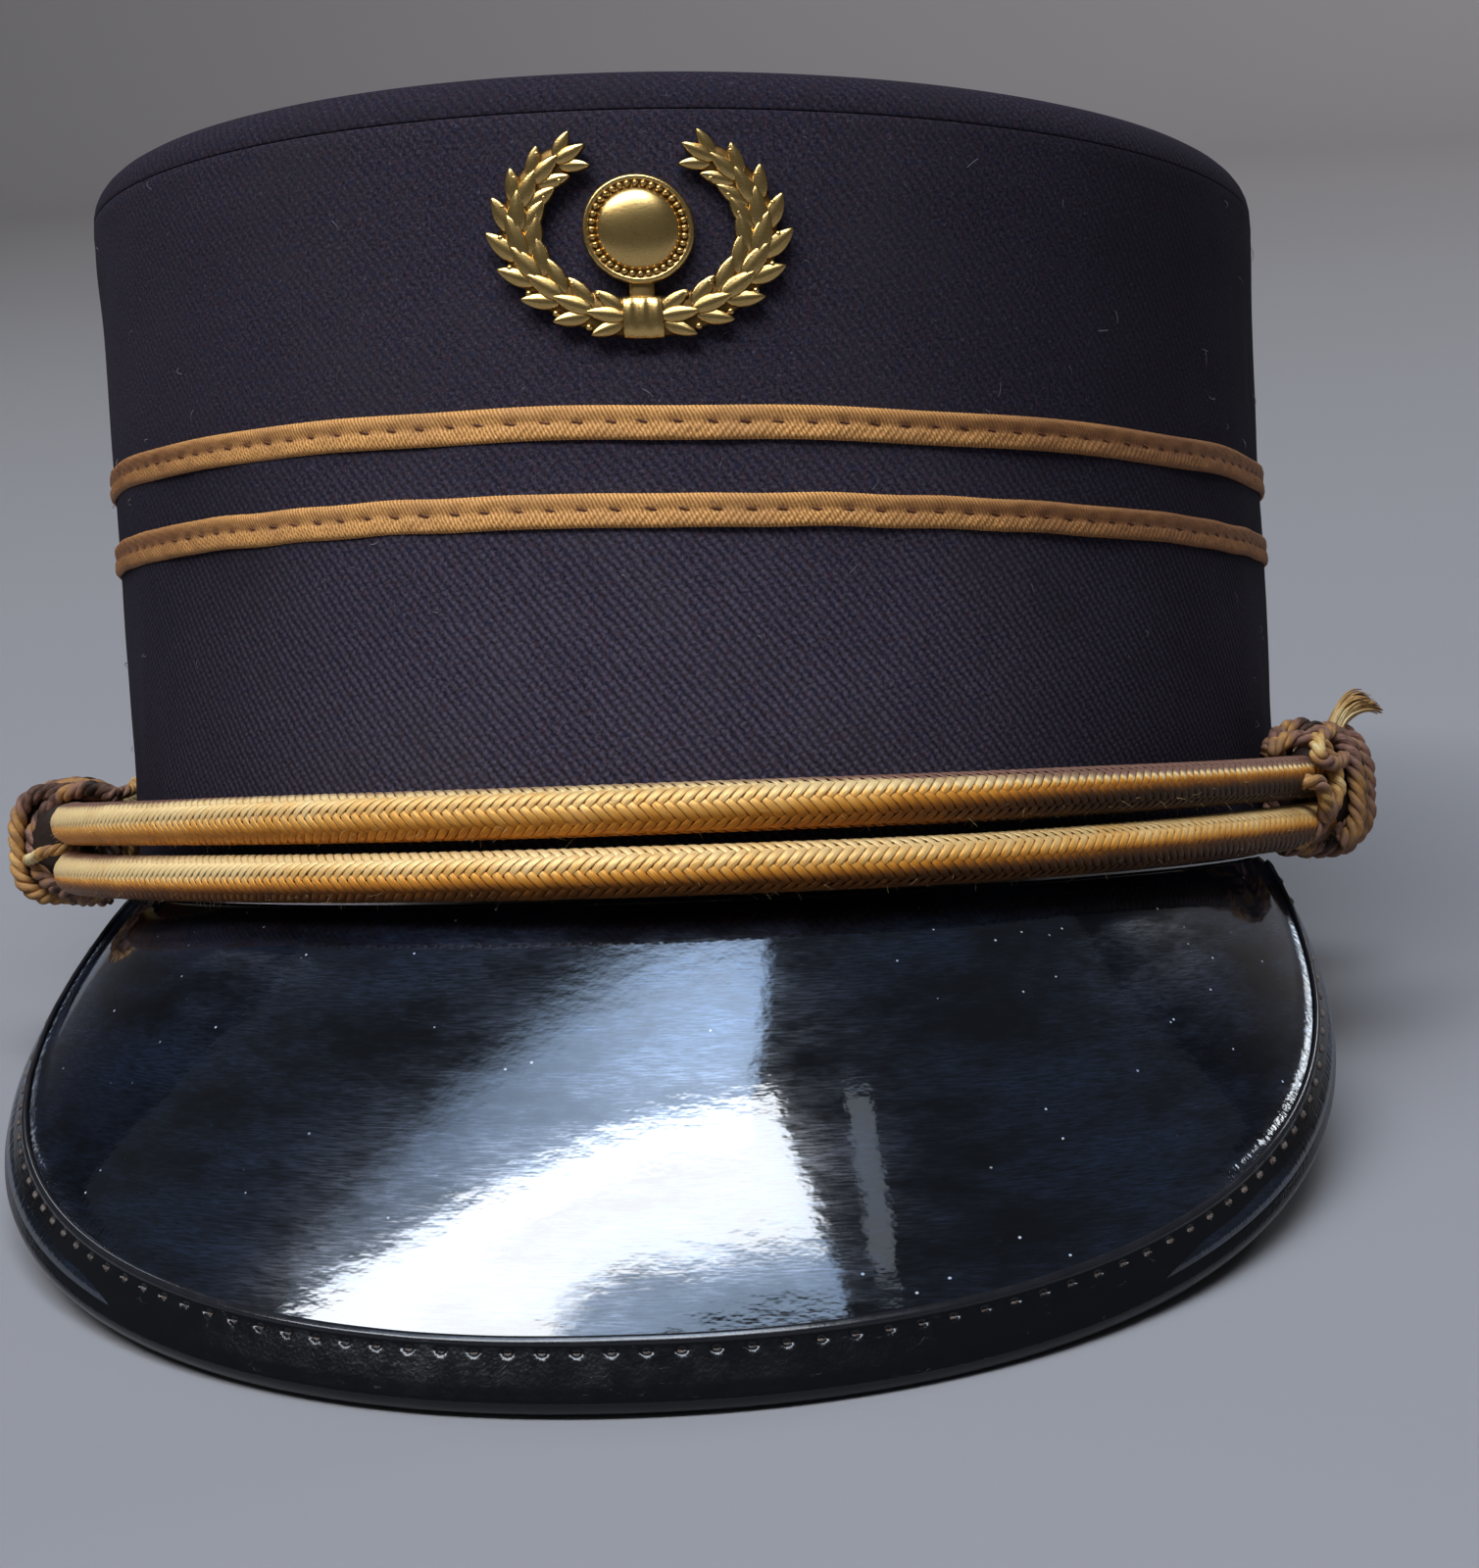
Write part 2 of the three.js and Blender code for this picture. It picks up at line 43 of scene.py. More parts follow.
UP = np.array([0.0, 0.0, 1.0])

# How the kepi rests
LEAN = math.radians(13.26916671)
SEAT = np.array([-0.209145, 11.573982, 22.952600])

# Crown
RIM_HALF_WIDTH = 84.6
RIM_HALF_DEPTH = 100.0
MEAN_RADIUS = 92
CROWN_HEIGHT = 99.3
CLOTH = 2.0
TOP_EDGE_RADIUS = 5.0
TOP_SEAM = 5.6
GAP = 0.35  # between a piece and what it lies on
# The wall by height: how much wider it is than the rim, then how far it is shifted to the right and how much it
# rises to the right where it has settled
WALL = {"height": [0, 26, 52, 78, 88, 94.3, 99.3], "wider": [0, 0.1, 0.4, 0.6, 1.2, 1.2, 1.2]}
SETTLED = {
    "height": [0, 18, 51, 94.3, 99.3],
    "shift": [2, 1.6, 0.8, -0.2, -0.2],
    "slope": [0, -0.006, -0.0285, -0.0206, -0.0206],
}
ALL_ROUND = np.linspace(-math.pi, math.pi, 2881)  # fine angles from the back, by the front, to the back
SIDE_COLUMNS, TOP_COLUMNS, BRAID_COLUMNS = 420, 360, 2352

# Stripes
STRIPE_HEIGHTS = {"upper": 56.8, "lower": 46.35}
STRIPE_WIDTH = 4.1
STRIPE_DROOP = 0.00012
STRIPE_STITCH = 4.0

# Peak and its binding
PEAK_LENGTH = 63.5
PEAK_HALF_ANGLE = math.radians(70.4)
PEAK_POWER, PEAK_ROOT, PEAK_SKEW = 2.35, 0.72, -0.045
PEAK_SLOPE = {"front": math.radians(57), "side": math.radians(52), "turn": math.radians(3.6)}
PEAK_THICKNESS = 2.0
PEAK_BOW = 1.4
PEAK_LIP = 1.8
PEAK_LAST = 0.985  # of its half angle, where its outermost sections are
BINDING_WIDTH = {"front": 8.0, "side": 7.2}
BINDING_MOST = 0.8  # of the peak's length
BEAD_POINTS, BAND_POINTS, EDGE_POINTS = 10, 15, 9  # of the binding's upper section, from its bead outward
BINDING_STITCH = 3.9

# Chin cord: (angle in degrees, outward, upper strand's height, lower strand's height)
CORD_RADIUS = 3.2
CORD_ROUTE = np.array([
    (-80, 8.2, 9.9, 3.2), (-76, 9.0, 9.9, 3.2), (-68, 9.2, 9.9, 3.1), (-56, 6.4, 10.1, 3.1),
    (-42, 4, 10.3, 3.15), (-25, 3.6, 10.5, 3.2), (-8, 3.6, 10.6, 3.25), (8, 3.6, 10.7, 3.25),
    (25, 3.6, 10.7, 3.2), (42, 3.7, 10.8, 3.5), (56, 4.9, 10.9, 3.9), (68, 7.5, 11.1, 4.3),
    (74, 7.5, 11.1, 4.4), (80, 6.4, 11.1, 4.4),
])
EYE_RADIUS = 5.6
EYE_OUTWARD = 5.0
EYE_ANGLES = np.radians([90, 45, 0, -45, -90])
BRAID_TURNS = 39
BRAID_STRANDS = 12  # that turn each way
BRAID_STEPS = 32  # of a strand in each turn
STRAND_RADIUS, STRAND_RISE = 2.72, 0.24
CORE_RADIUS = 2.35

# Knots: the centre, turn, half width, height above and below of each, and the seed of its unevenness
KNOTS = {
    "left": {"centre": (-91, -23, 6.5), "turn": -2, "wide": 8.2, "above": 9.8, "below": 8.5, "seed": 51},
    "right": {"centre": (89.7, -32, 7.5), "turn": -13, "wide": 7.4, "above": 10.4, "below": 8.5, "seed": 61},
}
KNOT_LENGTH = 11.8
KNOT_TURNS = 4.2
KNOT_CORD_RADIUS = 1.4
FILLING_INSET = {"wide": 2.4, "tall": 2.6}
PLIES = 3
PLY_OFFSET, PLY_RADIUS = 0.46, 0.56  # of the cord's radius

# Lengths of thin cord on each knot's face: radius, tone, then points on the way
KNOT_STRANDS = {
    "left": [
        (1.3, 0.62, [(-85, -23, 14.4), (-88.2, -21, 15.4), (-92.6, -20, 15.6), (-96.3, -19, 14.6),
                     (-98.4, -18, 11.4), (-98.9, -18, 7.6), (-98.2, -19, 3.4), (-95.6, -21, 0.4),
                     (-90.8, -24, -0.9), (-85.5, -27, -0.8)]),
        (1.35, 0.78, [(-81.7, -31, 13.9), (-85.4, -29, 14.9), (-89.2, -27, 14.7), (-92.5, -26, 13.5),
                      (-94.9, -26, 10.8), (-95.9, -26, 7.7), (-95.2, -27, 3.9), (-92.1, -29, 1.1),
                      (-87.4, -32, -0.5), (-82.4, -35, -0.6)]),
        (0.95, 0.12, [(-88.7, -26, 6.7), (-89.6, -31.5, 6.6), (-92.1, -32, 6.2), (-95.3, -29, 5.2),
                      (-98.2, -23, 4)]),
        (1.0, 0.32, [(-85.8, -25, 12.2), (-84.2, -23, 13.7), (-82.9, -20, 14.8), (-82.9, -16, 15.9)]),
    ],
    "right": [
        (1.35, 0.72, [(82.5, -39, 13.7), (83.8, -37, 16.1), (86.8, -35, 17.6), (90.3, -34, 16.8),
                      (93, -33, 14.4), (94.1, -33, 10.6), (93.8, -34, 6.7), (91.7, -36, 3.2),
                      (87.9, -39, 1.2), (83.4, -42, 1.1)]),
        (1.3, 0.5, [(81.8, -45, 14.4), (84.5, -43, 15.8), (87.5, -42, 15.9), (89.9, -41, 14.4),
                    (91.3, -41, 11.4), (91.1, -42, 8), (89.3, -43, 4.6), (85.9, -45, 2.4), (82.1, -48, 2.1)]),
        (1.2, 0.42, [(85.3, -42, 10), (86.9, -47.5, 10.3), (88.6, -47, 9.7), (89.6, -45.5, 7.6), (89, -44, 5)]),
        (1.2, 0.45, [(91.3, -36, 17.2), (88.8, -43, 15.5), (88.8, -45, 13.5), (90.9, -42.5, 12.5),
                     (93, -38, 13.3)]),
    ],
}
TAIL_BASE = np.array([94, -30, 17.3])
TAIL_TIP = np.array([98.3, -29, 20.4])

# Badge
BADGE_ANGLE = math.radians(3.2)
BADGE_HEIGHT = 79.5
WREATH_HALF_WIDTH, WREATH_HALF_HEIGHT = 14.1, 10.5

# Camera, in the hat's frame: where it stands, its right and up, and its lens in the photograph's pixels
CAMERA_STAND = (43.9, -454.4, 17.2)
CAMERA_RIGHT = (0.99594791, 0.08224083, -0.03638964)
CAMERA_UP = (0.03533335, 0.0142634, 0.99927379)
FOCAL_LENGTH, PHOTO_HEIGHT = 3045, 1600
SENSOR = 36  # mm


# ---- Frame and crown


def seated(points):
    """Hat-frame millimetres as the row's metres: leaned back about x, then moved to where it rests."""
    x, y, z = np.moveaxis(np.asarray(points, float), -1, 0)
    c, s = math.cos(LEAN), math.sin(LEAN)
    return (np.stack([x, y * c + z * s, z * c - y * s], -1) + SEAT) / 1000


def softened(heights, values, reach=2.5, step=0.25, half=40):
    """A table of values by height with its corners rounded: straight lines averaged over a bell of that reach."""
    fine = np.arange(-10, 110, step)
    weights = np.exp(-0.5 * (np.arange(-half, half + 1) * step / reach) ** 2)
    padded = np.pad(np.interp(fine, heights, values), half, mode="edge")
    return fine, np.convolve(padded, weights / weights.sum(), mode="valid")


WIDER = softened(WALL["height"], WALL["wider"])
SHIFT = softened(SETTLED["height"], SETTLED["shift"])
SLOPE = softened(SETTLED["height"], SETTLED["slope"])


def alike(*values):
    """The values as arrays of one shape."""
    return np.broadcast_arrays(*(np.asarray(value, float) for value in values))


def spread(*coordinates):
    """Points from their coordinates, each given by row, by column or for all."""
    return np.stack(alike(*coordinates), -1)


def wrapped(points):
    """A line of points, or each row of a grid, with its first point again at its end."""
    return np.concatenate([points, points[..., :1, :]], -2)


def distance(points):
    """Distance along a line of points, or along each row of a grid, as summed chords."""
    chords = np.linalg.norm(np.diff(points, axis=-2), axis=-1)
    return np.concatenate([np.zeros_like(chords[..., :1]), np.cumsum(chords, -1)], -1)


def around(count):
    """That many angles equally far apart round a turn."""
    return np.arange(count) * TURN / count


def unit(vectors):
    """Each vector divided by its own length."""
    return vectors / np.maximum(np.linalg.norm(vectors, axis=-1, keepdims=True), 1e-12)


def rolled(first, second, turn):
    """Two directions at right angles, turned in their plane: first cos + second sin, and second cos - first sin."""
    c, s = np.cos(turn)[..., None], np.sin(turn)[..., None]
    return first * c + second * s, second * c - first * s


def mix(a, b, part):
    """a where part is 0, b where it is 1."""
    return a + (b - a) * part


def smooth(value, low, high):
    """0 below low, 1 above high and an S curve between them."""
    t = np.clip((value - low) / (high - low), 0, 1)
    return t * t * (3 - 2 * t)


def bell(value, middle, reach):
    """1 at the middle and almost 0 two reaches away: exp(-(distance / reach)^2)."""
    return np.exp(-(((value - middle) / reach) ** 2))


def crown_normal(angle):
    """Level direction away from the oval wall at an angle from the front."""
    return unit(spread(RIM_HALF_DEPTH * np.sin(angle), -RIM_HALF_WIDTH * np.cos(angle), 0))


def crown_point(angle, height, outward=0.0, lift=0.0):
    """Point of the wall: an oval (half width sin, -half depth cos) at a height, moved outward along the oval's
    normal, then settled: z grows by slope times x, and x by the shift, both by height."""
    angle, height, outward, lift = alike(angle, height, outward, lift)
    h = np.clip(height, 0, CROWN_HEIGHT)
    wide = RIM_HALF_WIDTH + np.interp(h, *WIDER)
    deep = wide + RIM_HALF_DEPTH - RIM_HALF_WIDTH
    point = np.stack([wide * np.sin(angle), -deep * np.cos(angle), height + lift], -1)
    point = point + crown_normal(angle) * outward[..., None]
    point[..., 2] += np.interp(h, *SLOPE) * point[..., 0]
    point[..., 0] += np.interp(h, *SHIFT)
    return point


def girth(angles):
    """Distance round the rim from the front to each angle, as the summed chords of the oval."""
    chords = np.hypot(np.diff(RIM_HALF_WIDTH * np.sin(ALL_ROUND)), np.diff(RIM_HALF_DEPTH * np.cos(ALL_ROUND)))
    run = np.concatenate([[0], np.cumsum(chords)])
    return np.interp(angles, ALL_ROUND, run - run[len(run) // 2])


def even_angles(count):
    """Angles from the back, round by the left and the front to the back, equally far apart on the rim."""
    run = girth(ALL_ROUND)
    return np.interp(np.linspace(run[0], run[-1], count + 1), run, ALL_ROUND)


def ripple(draw, x, y, count, shortest, longest):
    """Soft unevenness between about -1 and 1: a mean of sine waves in directions and lengths drawn at random."""
    total = 0
    for _ in range(count):
        length = draw.uniform(shortest, longest)
        heading, phase = draw.uniform(0, TURN, 2)
        total = total + np.sin(TURN * (x * math.cos(heading) + y * math.sin(heading)) / length + phase)
    return total / math.sqrt(count)


# ---- Shapes


class Shape:
    """Points (hat frame, mm), triangles, each triangle corner's place on the material (mm) and tones by point."""

    def __init__(self, points, faces, places, tones):
        self.points, self.faces, self.places, self.tones = points, faces, places, tones

    def faced_out(self):
        """The same shape with its triangles turned where their signed volume says that they face in."""
        a, b, c = (self.points[self.faces[:, k]] for k in range(3))
        if np.einsum("ij,ij->i", a, np.cross(b, c)).sum() < 0:
            self.faces = self.faces[:, ::-1]
            self.places = self.places[:, ::-1]
        return self


def joined(shapes):
    """Several shapes as one, each one's triangles counted on from the points of those before it."""
    starts = np.cumsum([0] + [len(s.points) for s in shapes[:-1]])
    return Shape(
        np.concatenate([s.points for s in shapes]),
        np.concatenate([s.faces + start for s, start in zip(shapes, starts)]),
        np.concatenate([s.places for s in shapes]),
        np.concatenate([s.tones for s in shapes]),
    )


def skin(points, places, poles=None, tones=0.0):
    """Triangles through grids of points [grid, row, column], whose last column joins the first. poles are two
    points a grid that close its two ends; without them its last row joins the first too. A direction that joins
    has one more line of places than of points."""
    count, rows, columns = points.shape[:3]
    last = rows if poles is None else rows - 1
    tones = np.broadcast_to(np.asarray(tones, float), points.shape[:3])
    number = np.arange(count * rows * columns).reshape(count, rows, columns)
    halves = (((0, 0), (1, 0), (1, 1)), ((0, 0), (1, 1), (0, 1)))
    faces = [np.stack([
        np.stack([np.roll(number, (-down, -over), (1, 2))[:, :last] for down, over in half], -1)
        for half in halves], 1).reshape(-1, 3)]
    corners = [np.stack([
        np.stack([places[:, down:down + last, over:over + columns] for down, over in half], -2)
        for half in halves], 1).reshape(-1, 3, 2)]
    all_points, all_tones = [points.reshape(-1, 3)], [tones.reshape(-1)]
    for row, pole in zip((0, rows - 1), poles or ()):
        here, at, beside = number[:, row], places[:, row, :-1], places[:, row, 1:]
        tip = np.arange(count)[:, None] + sum(len(p) for p in all_points) + 0 * here
        fan, fan_places = [tip, here, np.roll(here, -1, 1)], [(at + beside) / 2, at, beside]
        if row:
            fan[:2], fan_places[:2] = fan[1::-1], fan_places[1::-1]
        faces.append(np.stack(fan, -1).reshape(-1, 3))
        corners.append(np.stack(fan_places, 2).reshape(-1, 3, 2))
        all_points.append(np.asarray(pole, float).reshape(-1, 3))
        all_tones.append(tones[:, row].mean(1))
    return Shape(*(np.concatenate(part) for part in (all_points, faces, corners, all_tones))).faced_out()


def ends(points):
    """The middles of each grid's first and last row, as poles."""
    return points[:, 0].mean(1), points[:, -1].mean(1)


def tubes(centres, side, up, outline, tones=0.0, meet=False):
    """Strands: an outline [corner, (sideways, up)] carried along each centreline [strand, step], with the
    directions side and up at each step. outline may differ by strand and step. Ends close to a point or meet."""
    side, up = (np.broadcast_to(way, centres.shape)[:, :, None] for way in (side, up))
    outline = np.broadcast_to(outline, centres.shape[:2] + np.shape(outline)[-2:])
    rings = centres[:, :, None] + side * outline[..., :1] + up * outline[..., 1:]
    run = distance(wrapped(centres) if meet else centres)
    places = spread(run[..., None], np.arange(outline.shape[2] + 1) * 0.5)
    return skin(rings, places, None if meet else (centres[:, 0], centres[:, -1]), tones)


def round_outline(radius, corners, flat=1.0):
    """An oval as corners (radius cos, flat radius sin)."""
    turn = around(corners)
    return spread(radius * np.cos(turn), flat * radius * np.sin(turn))


def placed(name, data, basis=None):
    """A new object of the scene, at the origin or on a basis of three directions and a point."""
    made = bpy.data.objects.new(name, data)
    if basis:
        made.matrix_world = Matrix(np.vstack([np.column_stack(basis), [0, 0, 0, 1]]).tolist())
    bpy.context.scene.collection.objects.link(made)
    return made


def piece(name, shape, finish, nodes=()):
    """A finished piece: the shape seated in the row frame, smooth, in its finish, riding on the root body."""
    mesh = bpy.data.meshes.new(name)
    mesh.from_pydata(seated(shape.points), [], shape.faces.tolist(), False)
    layer = mesh.uv_layers.new(name="place")
    layer.data.foreach_set("uv", shape.places.astype(np.float32).ravel())
    tone = mesh.attributes.new("tone", "FLOAT", "POINT")
    tone.data.foreach_set("value", shape.tones.astype(np.float32))
    mesh.materials.append(finish)
    mesh.update()
    made = placed(name, mesh)
    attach(made, "root")
    if nodes:
        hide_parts(*nodes)


# ---- Finishes


class Wire:
    """A socket of a finish. A sum on it adds Math nodes."""

    def __init__(self, finish, socket):
        self.finish, self.socket = finish, socket

    def sum(self, operation, first, second=0.0):
        """The Math node of that operation on these values."""
        return self.finish.node("Math", {"operation": operation}, {0: first, 1: second})

    def __add__(self, other):
        return self.sum("ADD", self, other)

    def __sub__(self, other):
        return self.sum("SUBTRACT", self, other)

    def __rsub__(self, other):
        return self.sum("SUBTRACT", other, self)

    def __mul__(self, other):
        return self.sum("MULTIPLY", self, other)

    def __truediv__(self, other):
        return self.sum("DIVIDE", self, other)

    __radd__, __rmul__ = __add__, __mul__

    def sine(self):
        """Its sine."""
        return self.sum("SINE", self)

    def cosine(self):
        """Its cosine."""
        return self.sum("COSINE", self)

    def whole(self):
        """The whole number at or below it."""
        return self.sum("FLOOR", self)

    def most(self, other):
        """The larger of it and another."""
        return self.sum("MAXIMUM", self, other)

    def least(self, other):
        """The smaller of it and another."""
        return self.sum("MINIMUM", self, other)

    def span(self, low, high, start=0.0, end=1.0):
        """start below low, end above high and an S curve between them."""
        return self.finish.node(
            "MapRange", {"interpolation_type": "SMOOTHSTEP"}, {0: self, 1: low, 2: high, 3: start, 4: end})


class Finish:
    """A material in the making, or the nodes of a light."""

    def __init__(self, name, tree=None):
        if not tree:
            self.material = bpy.data.materials.new(name)
            self.material.use_nodes = True
        self.tree = tree or self.material.node_tree
        self.tree.nodes.clear()

    def node(self, kind, settings=None, sockets=None, result=0):
        """Any node: its type, its settings, then the values or wires of its sockets. Gives one of its results."""
        made = self.tree.nodes.new("ShaderNode" + kind)
        for key, value in (settings or {}).items():
            if key == "stops":
                ramp = made.color_ramp
                ramp.elements[0].color, ramp.elements[1].color = (*value[0][1], 1), (*value[-1][1], 1)
                for position, colour in value[1:-1]:
                    ramp.elements.new(position).color = (*colour, 1)
            else:
                setattr(made, key, value)
        for key, value in (sockets or {}).items():
            if isinstance(value, Wire):
                self.tree.links.new(value.socket, made.inputs[key])
            else:
                made.inputs[key].default_value = value
        return Wire(self, made.outputs[result]) if len(made.outputs) else None

    def place(self):
        """Where on the piece's own map, along and across, in millimetres."""
        return self.node("UVMap", {"uv_map": "place"})

    def parts(self, vector):
        """The first two numbers of a vector."""
        split = self.node("SeparateXYZ", None, {0: vector}).socket.node
        return [Wire(self, split.outputs[i]) for i in (0, 1)]

    def tone(self):
        """The value that the piece's points carry."""
        return self.node("Attribute", {"attribute_name": "tone"}, None, "Fac")

    def where(self):
        """The point in the row frame, in metres."""
        return self.node("TexCoord", None, None, "Object")

    def scaled(self, vector, x, y, z, turned=0.0):
        """A vector turned about z, then scaled by axis."""
        return self.node("Mapping", None, {
            "Vector": vector, "Rotation": (0, 0, turned), "Scale": (x, y, z)})

    def cloud(self, vector, scale, detail=2.0, rough=0.5):
        """Noise between 0 and 1 on a vector."""
        return self.node("TexNoise", None, {
            "Vector": vector, "Scale": scale, "Detail": detail, "Roughness": rough})

    def streaks(self, vector, x, y, detail=2.0, rough=0.5, turned=0.0):
        """Noise of x waves a millimetre one way and y the other, turned about z."""
        return self.cloud(self.scaled(vector, x, y, 1, turned), 1.0, detail, rough)

    def blend(self, part, first, second):
        """first where part is 0, second where it is 1; each a colour of three numbers or a wire."""
        first, second = (v if isinstance(v, Wire) else (*v, 1) for v in (first, second))
        return self.node("Mix", {"data_type": "RGBA"}, {0: part, 6: first, 7: second}, 2)

    def ramp(self, part, *stops):
        """A colour by part, through stops of (part, colour)."""
        return self.node("ValToRGB", {"stops": stops}, {0: part})

    def layered(self, colour, *layers):
        """A colour with others laid over it in turn, each given as (part, colour)."""
        for part, over in layers:
            colour = self.blend(part, colour, over)
        return colour

    def bump(self, height, metres, strength):
        """Normals for a height of 0 to 1 that stands that many metres high."""
        return self.node("Bump", None, {"Height": height, "Distance": metres, "Strength": strength})

    def done(self, **sockets):
        """Closes the finish with a Principled shader of these sockets, words joined by underscores."""
        named = {key.replace("_", " "): value for key, value in sockets.items()}
        named = {("Specular IOR Level" if key == "Specular" else key): value for key, value in named.items()}
        shader = self.node("BsdfPrincipled", None, named)
        self.node("OutputMaterial", None, {0: shader})
        return self.material


def wool(name):
    """Dark twill. Its wales stand 1.1 mm apart and slant down to the right, each beaded by the weft: height is
    sin^2 across a wale times a softer wave along it, set back by half a bead on every other wale. Flecks of
    lighter, red and blue fibre, and patches of wear. Where the tone is high the colour is darkened: painted shade."""
    f = Finish(name)
    place = f.place()
    u, v = f.parts(place)
    drift = f.cloud(place, 0.6, 3, 0.6)
    across = (u * 0.788 + v * 0.616) / 1.1 + drift * 0.8
    along = (v * 0.788 - u * 0.616) / 0.8 + drift * 0.4
    wale = (across * TURN).cosine() * -0.5 + 0.5
    bead = ((along + across.whole() * 0.5) * TURN).sine() * 0.26 + 0.74
    fibre = f.cloud(place, 2.6, 3, 0.75)
    fleck = f.cloud(place, 1.1, 4, 0.85)
    hue = f.cloud(place, 1.0, 2, 0.7)
    patch = f.cloud(place, 0.04, 4, 0.65)
    clear = v.span(30, 62, 1.0, 0.3) * patch.span(0.3, 0.6, 0.6, 1.0)
    twill = wale * bead * clear
    weave = (twill * 0.56 + fibre * 1.25 - 0.30).span(0.12, 0.95)
    ground = f.layered(
        f.blend(weave, (0.0105, 0.0088, 0.0130), (0.100, 0.080, 0.112)),
        (hue.span(0.54, 0.66, 0, 0.6), (0.046, 0.024, 0.034)),
        (hue.span(0.44, 0.34, 0, 0.55), (0.018, 0.022, 0.052)),
        (fleck.span(0.58, 0.72, 0, 0.75), (0.150, 0.130, 0.165)),
        (fleck.span(0.40, 0.30, 0, 0.6), (0.006, 0.005, 0.008)),
        (patch.span(0.45, 0.7, 0, 0.3), (0.050, 0.043, 0.046)),
        # Painted shade: the tone darkens the cloth, mixed with the patches
        ((f.tone() + (patch - 0.5) * 0.5).span(0, 1, 0, 0.88), (0.004, 0.0032, 0.006)))
    return f.done(
        Base_Color=ground, Roughness=fibre.span(0.3, 0.7, 0.85, 0.95), Specular=0.06,
        Normal=f.bump(twill * 0.6 + fibre * 0.5, 0.00020, 0.9))


def gold_thread(name):
    """Gold floss, mottled by its fibres and strands: cream gold where the tone is 0, through orange and brown to
    dark brown where it is 1, a ramp that paints light and shade, and purple grey where it is below 0."""
    f = Finish(name)
    place, tone = f.place(), f.tone()
    fibre, strand = f.streaks(place, 0.5, 4.5), f.streaks(place, 0.18, 0.01, 1)
    patch, speck = f.cloud(f.where(), 110, 3, 0.6), f.cloud(f.where(), 900, 2, 0.7)
    shade = tone.most(0.0) + (patch - 0.5) * 0.25 + (strand - 0.5) * 0.2 + (0.5 - fibre) * 0.3
    colour = f.ramp(
        shade, (0, (0.92, 0.66, 0.31)), (0.2, (0.80, 0.42, 0.105)), (0.4, (0.66, 0.255, 0.028)),
        (0.6, (0.36, 0.115, 0.014)), (0.8, (0.130, 0.048, 0.013)), (1, (0.042, 0.018, 0.008)))
    old = ((patch - 0.5) * 0.7 - tone).span(0.05, 0.8)
    colour = f.layered(colour, (old, (0.22, 0.112, 0.078)), (speck.span(0.66, 0.8, 0, 0.3), (0.30, 0.16, 0.12)))
    return f.done(
        Base_Color=colour, Roughness=fibre.span(0.3, 0.7, 0.36, 0.52), Metallic=0.25, Specular=0.18,
        Sheen_Weight=0.06, Sheen_Roughness=0.4, Sheen_Tint=(1.0, 0.75, 0.45, 1),
        Normal=f.bump(fibre, 0.00009, 0.8))


def knot_thread(name):
    """Old gold cord: cream and gold where the tone is low, then orange brown, olive, purple grey and dark brown,
    mixed by the cord's own mottling."""
    f = Finish(name)
    fibre = f.streaks(f.place(), 0.5, 4.5)
    patch = f.cloud(f.where(), 330, 3, 0.7)
    shade = f.tone() + (patch - 0.5) * 0.8 + (fibre - 0.5) * 0.3
    colour = f.ramp(
        shade, (0, (0.78, 0.62, 0.33)), (0.2, (0.62, 0.38, 0.13)), (0.38, (0.42, 0.21, 0.070)),
        (0.52, (0.27, 0.140, 0.060)), (0.66, (0.26, 0.135, 0.098)), (0.8, (0.115, 0.058, 0.038)),
        (1, (0.022, 0.012, 0.008)))
    return f.done(
        Base_Color=colour, Roughness=fibre.span(0.3, 0.7, 0.5, 0.66), Specular=0.18,
        Normal=f.bump(fibre, 0.00016, 0.9))


def stripe_thread(name):
    """Flat tan braid: fine slanted threads along it, mottled, redder and darker where the tone is high, as painted
    shade.
    """
    f = Finish(name)
    place = f.place()
    u, v = f.parts(place)
    thread = ((u * 1.1 + v * 0.5) * (TURN / 0.55) + f.cloud(place, 0.9) * 5).sine() * 0.5 + 0.5
    fuzz = f.cloud(place, 3.0, 3, 0.75)
    patch = f.cloud(place, 0.10)
    mottle = (thread * 0.35 + fuzz * 0.75).span(0.3, 0.8)
    colour = f.layered(
        f.blend(mottle, (0.38, 0.145, 0.032), (0.92, 0.48, 0.155)),
        (patch.span(0.4, 0.7, 0, 0.4), (0.42, 0.20, 0.075)),
        ((f.tone() + (patch - 0.5) * 0.3).span(0, 1.1, 0, 0.85), (0.15, 0.050, 0.018)))
    return f.done(
        Base_Color=colour, Roughness=0.58, Specular=0.25,
        Normal=f.bump(thread * 0.5 + fuzz * 0.7, 0.00012, 0.8))


def plain_thread(name, first, second, rough=0.6):
    """Sewing thread: two close colours mottled along it, with its ply as a fine slanted bump."""
    f = Finish(name)
    u, v = f.parts(f.place())
    ply = ((u + v) * (TURN / 0.45)).sine() * 0.5 + 0.5
    colour = f.blend(f.cloud(f.where(), 700).span(0.35, 0.65), first, second)
    return f.done(Base_Color=colour, Roughness=rough, Specular=0.4, Normal=f.bump(ply, 0.00006, 0.7))


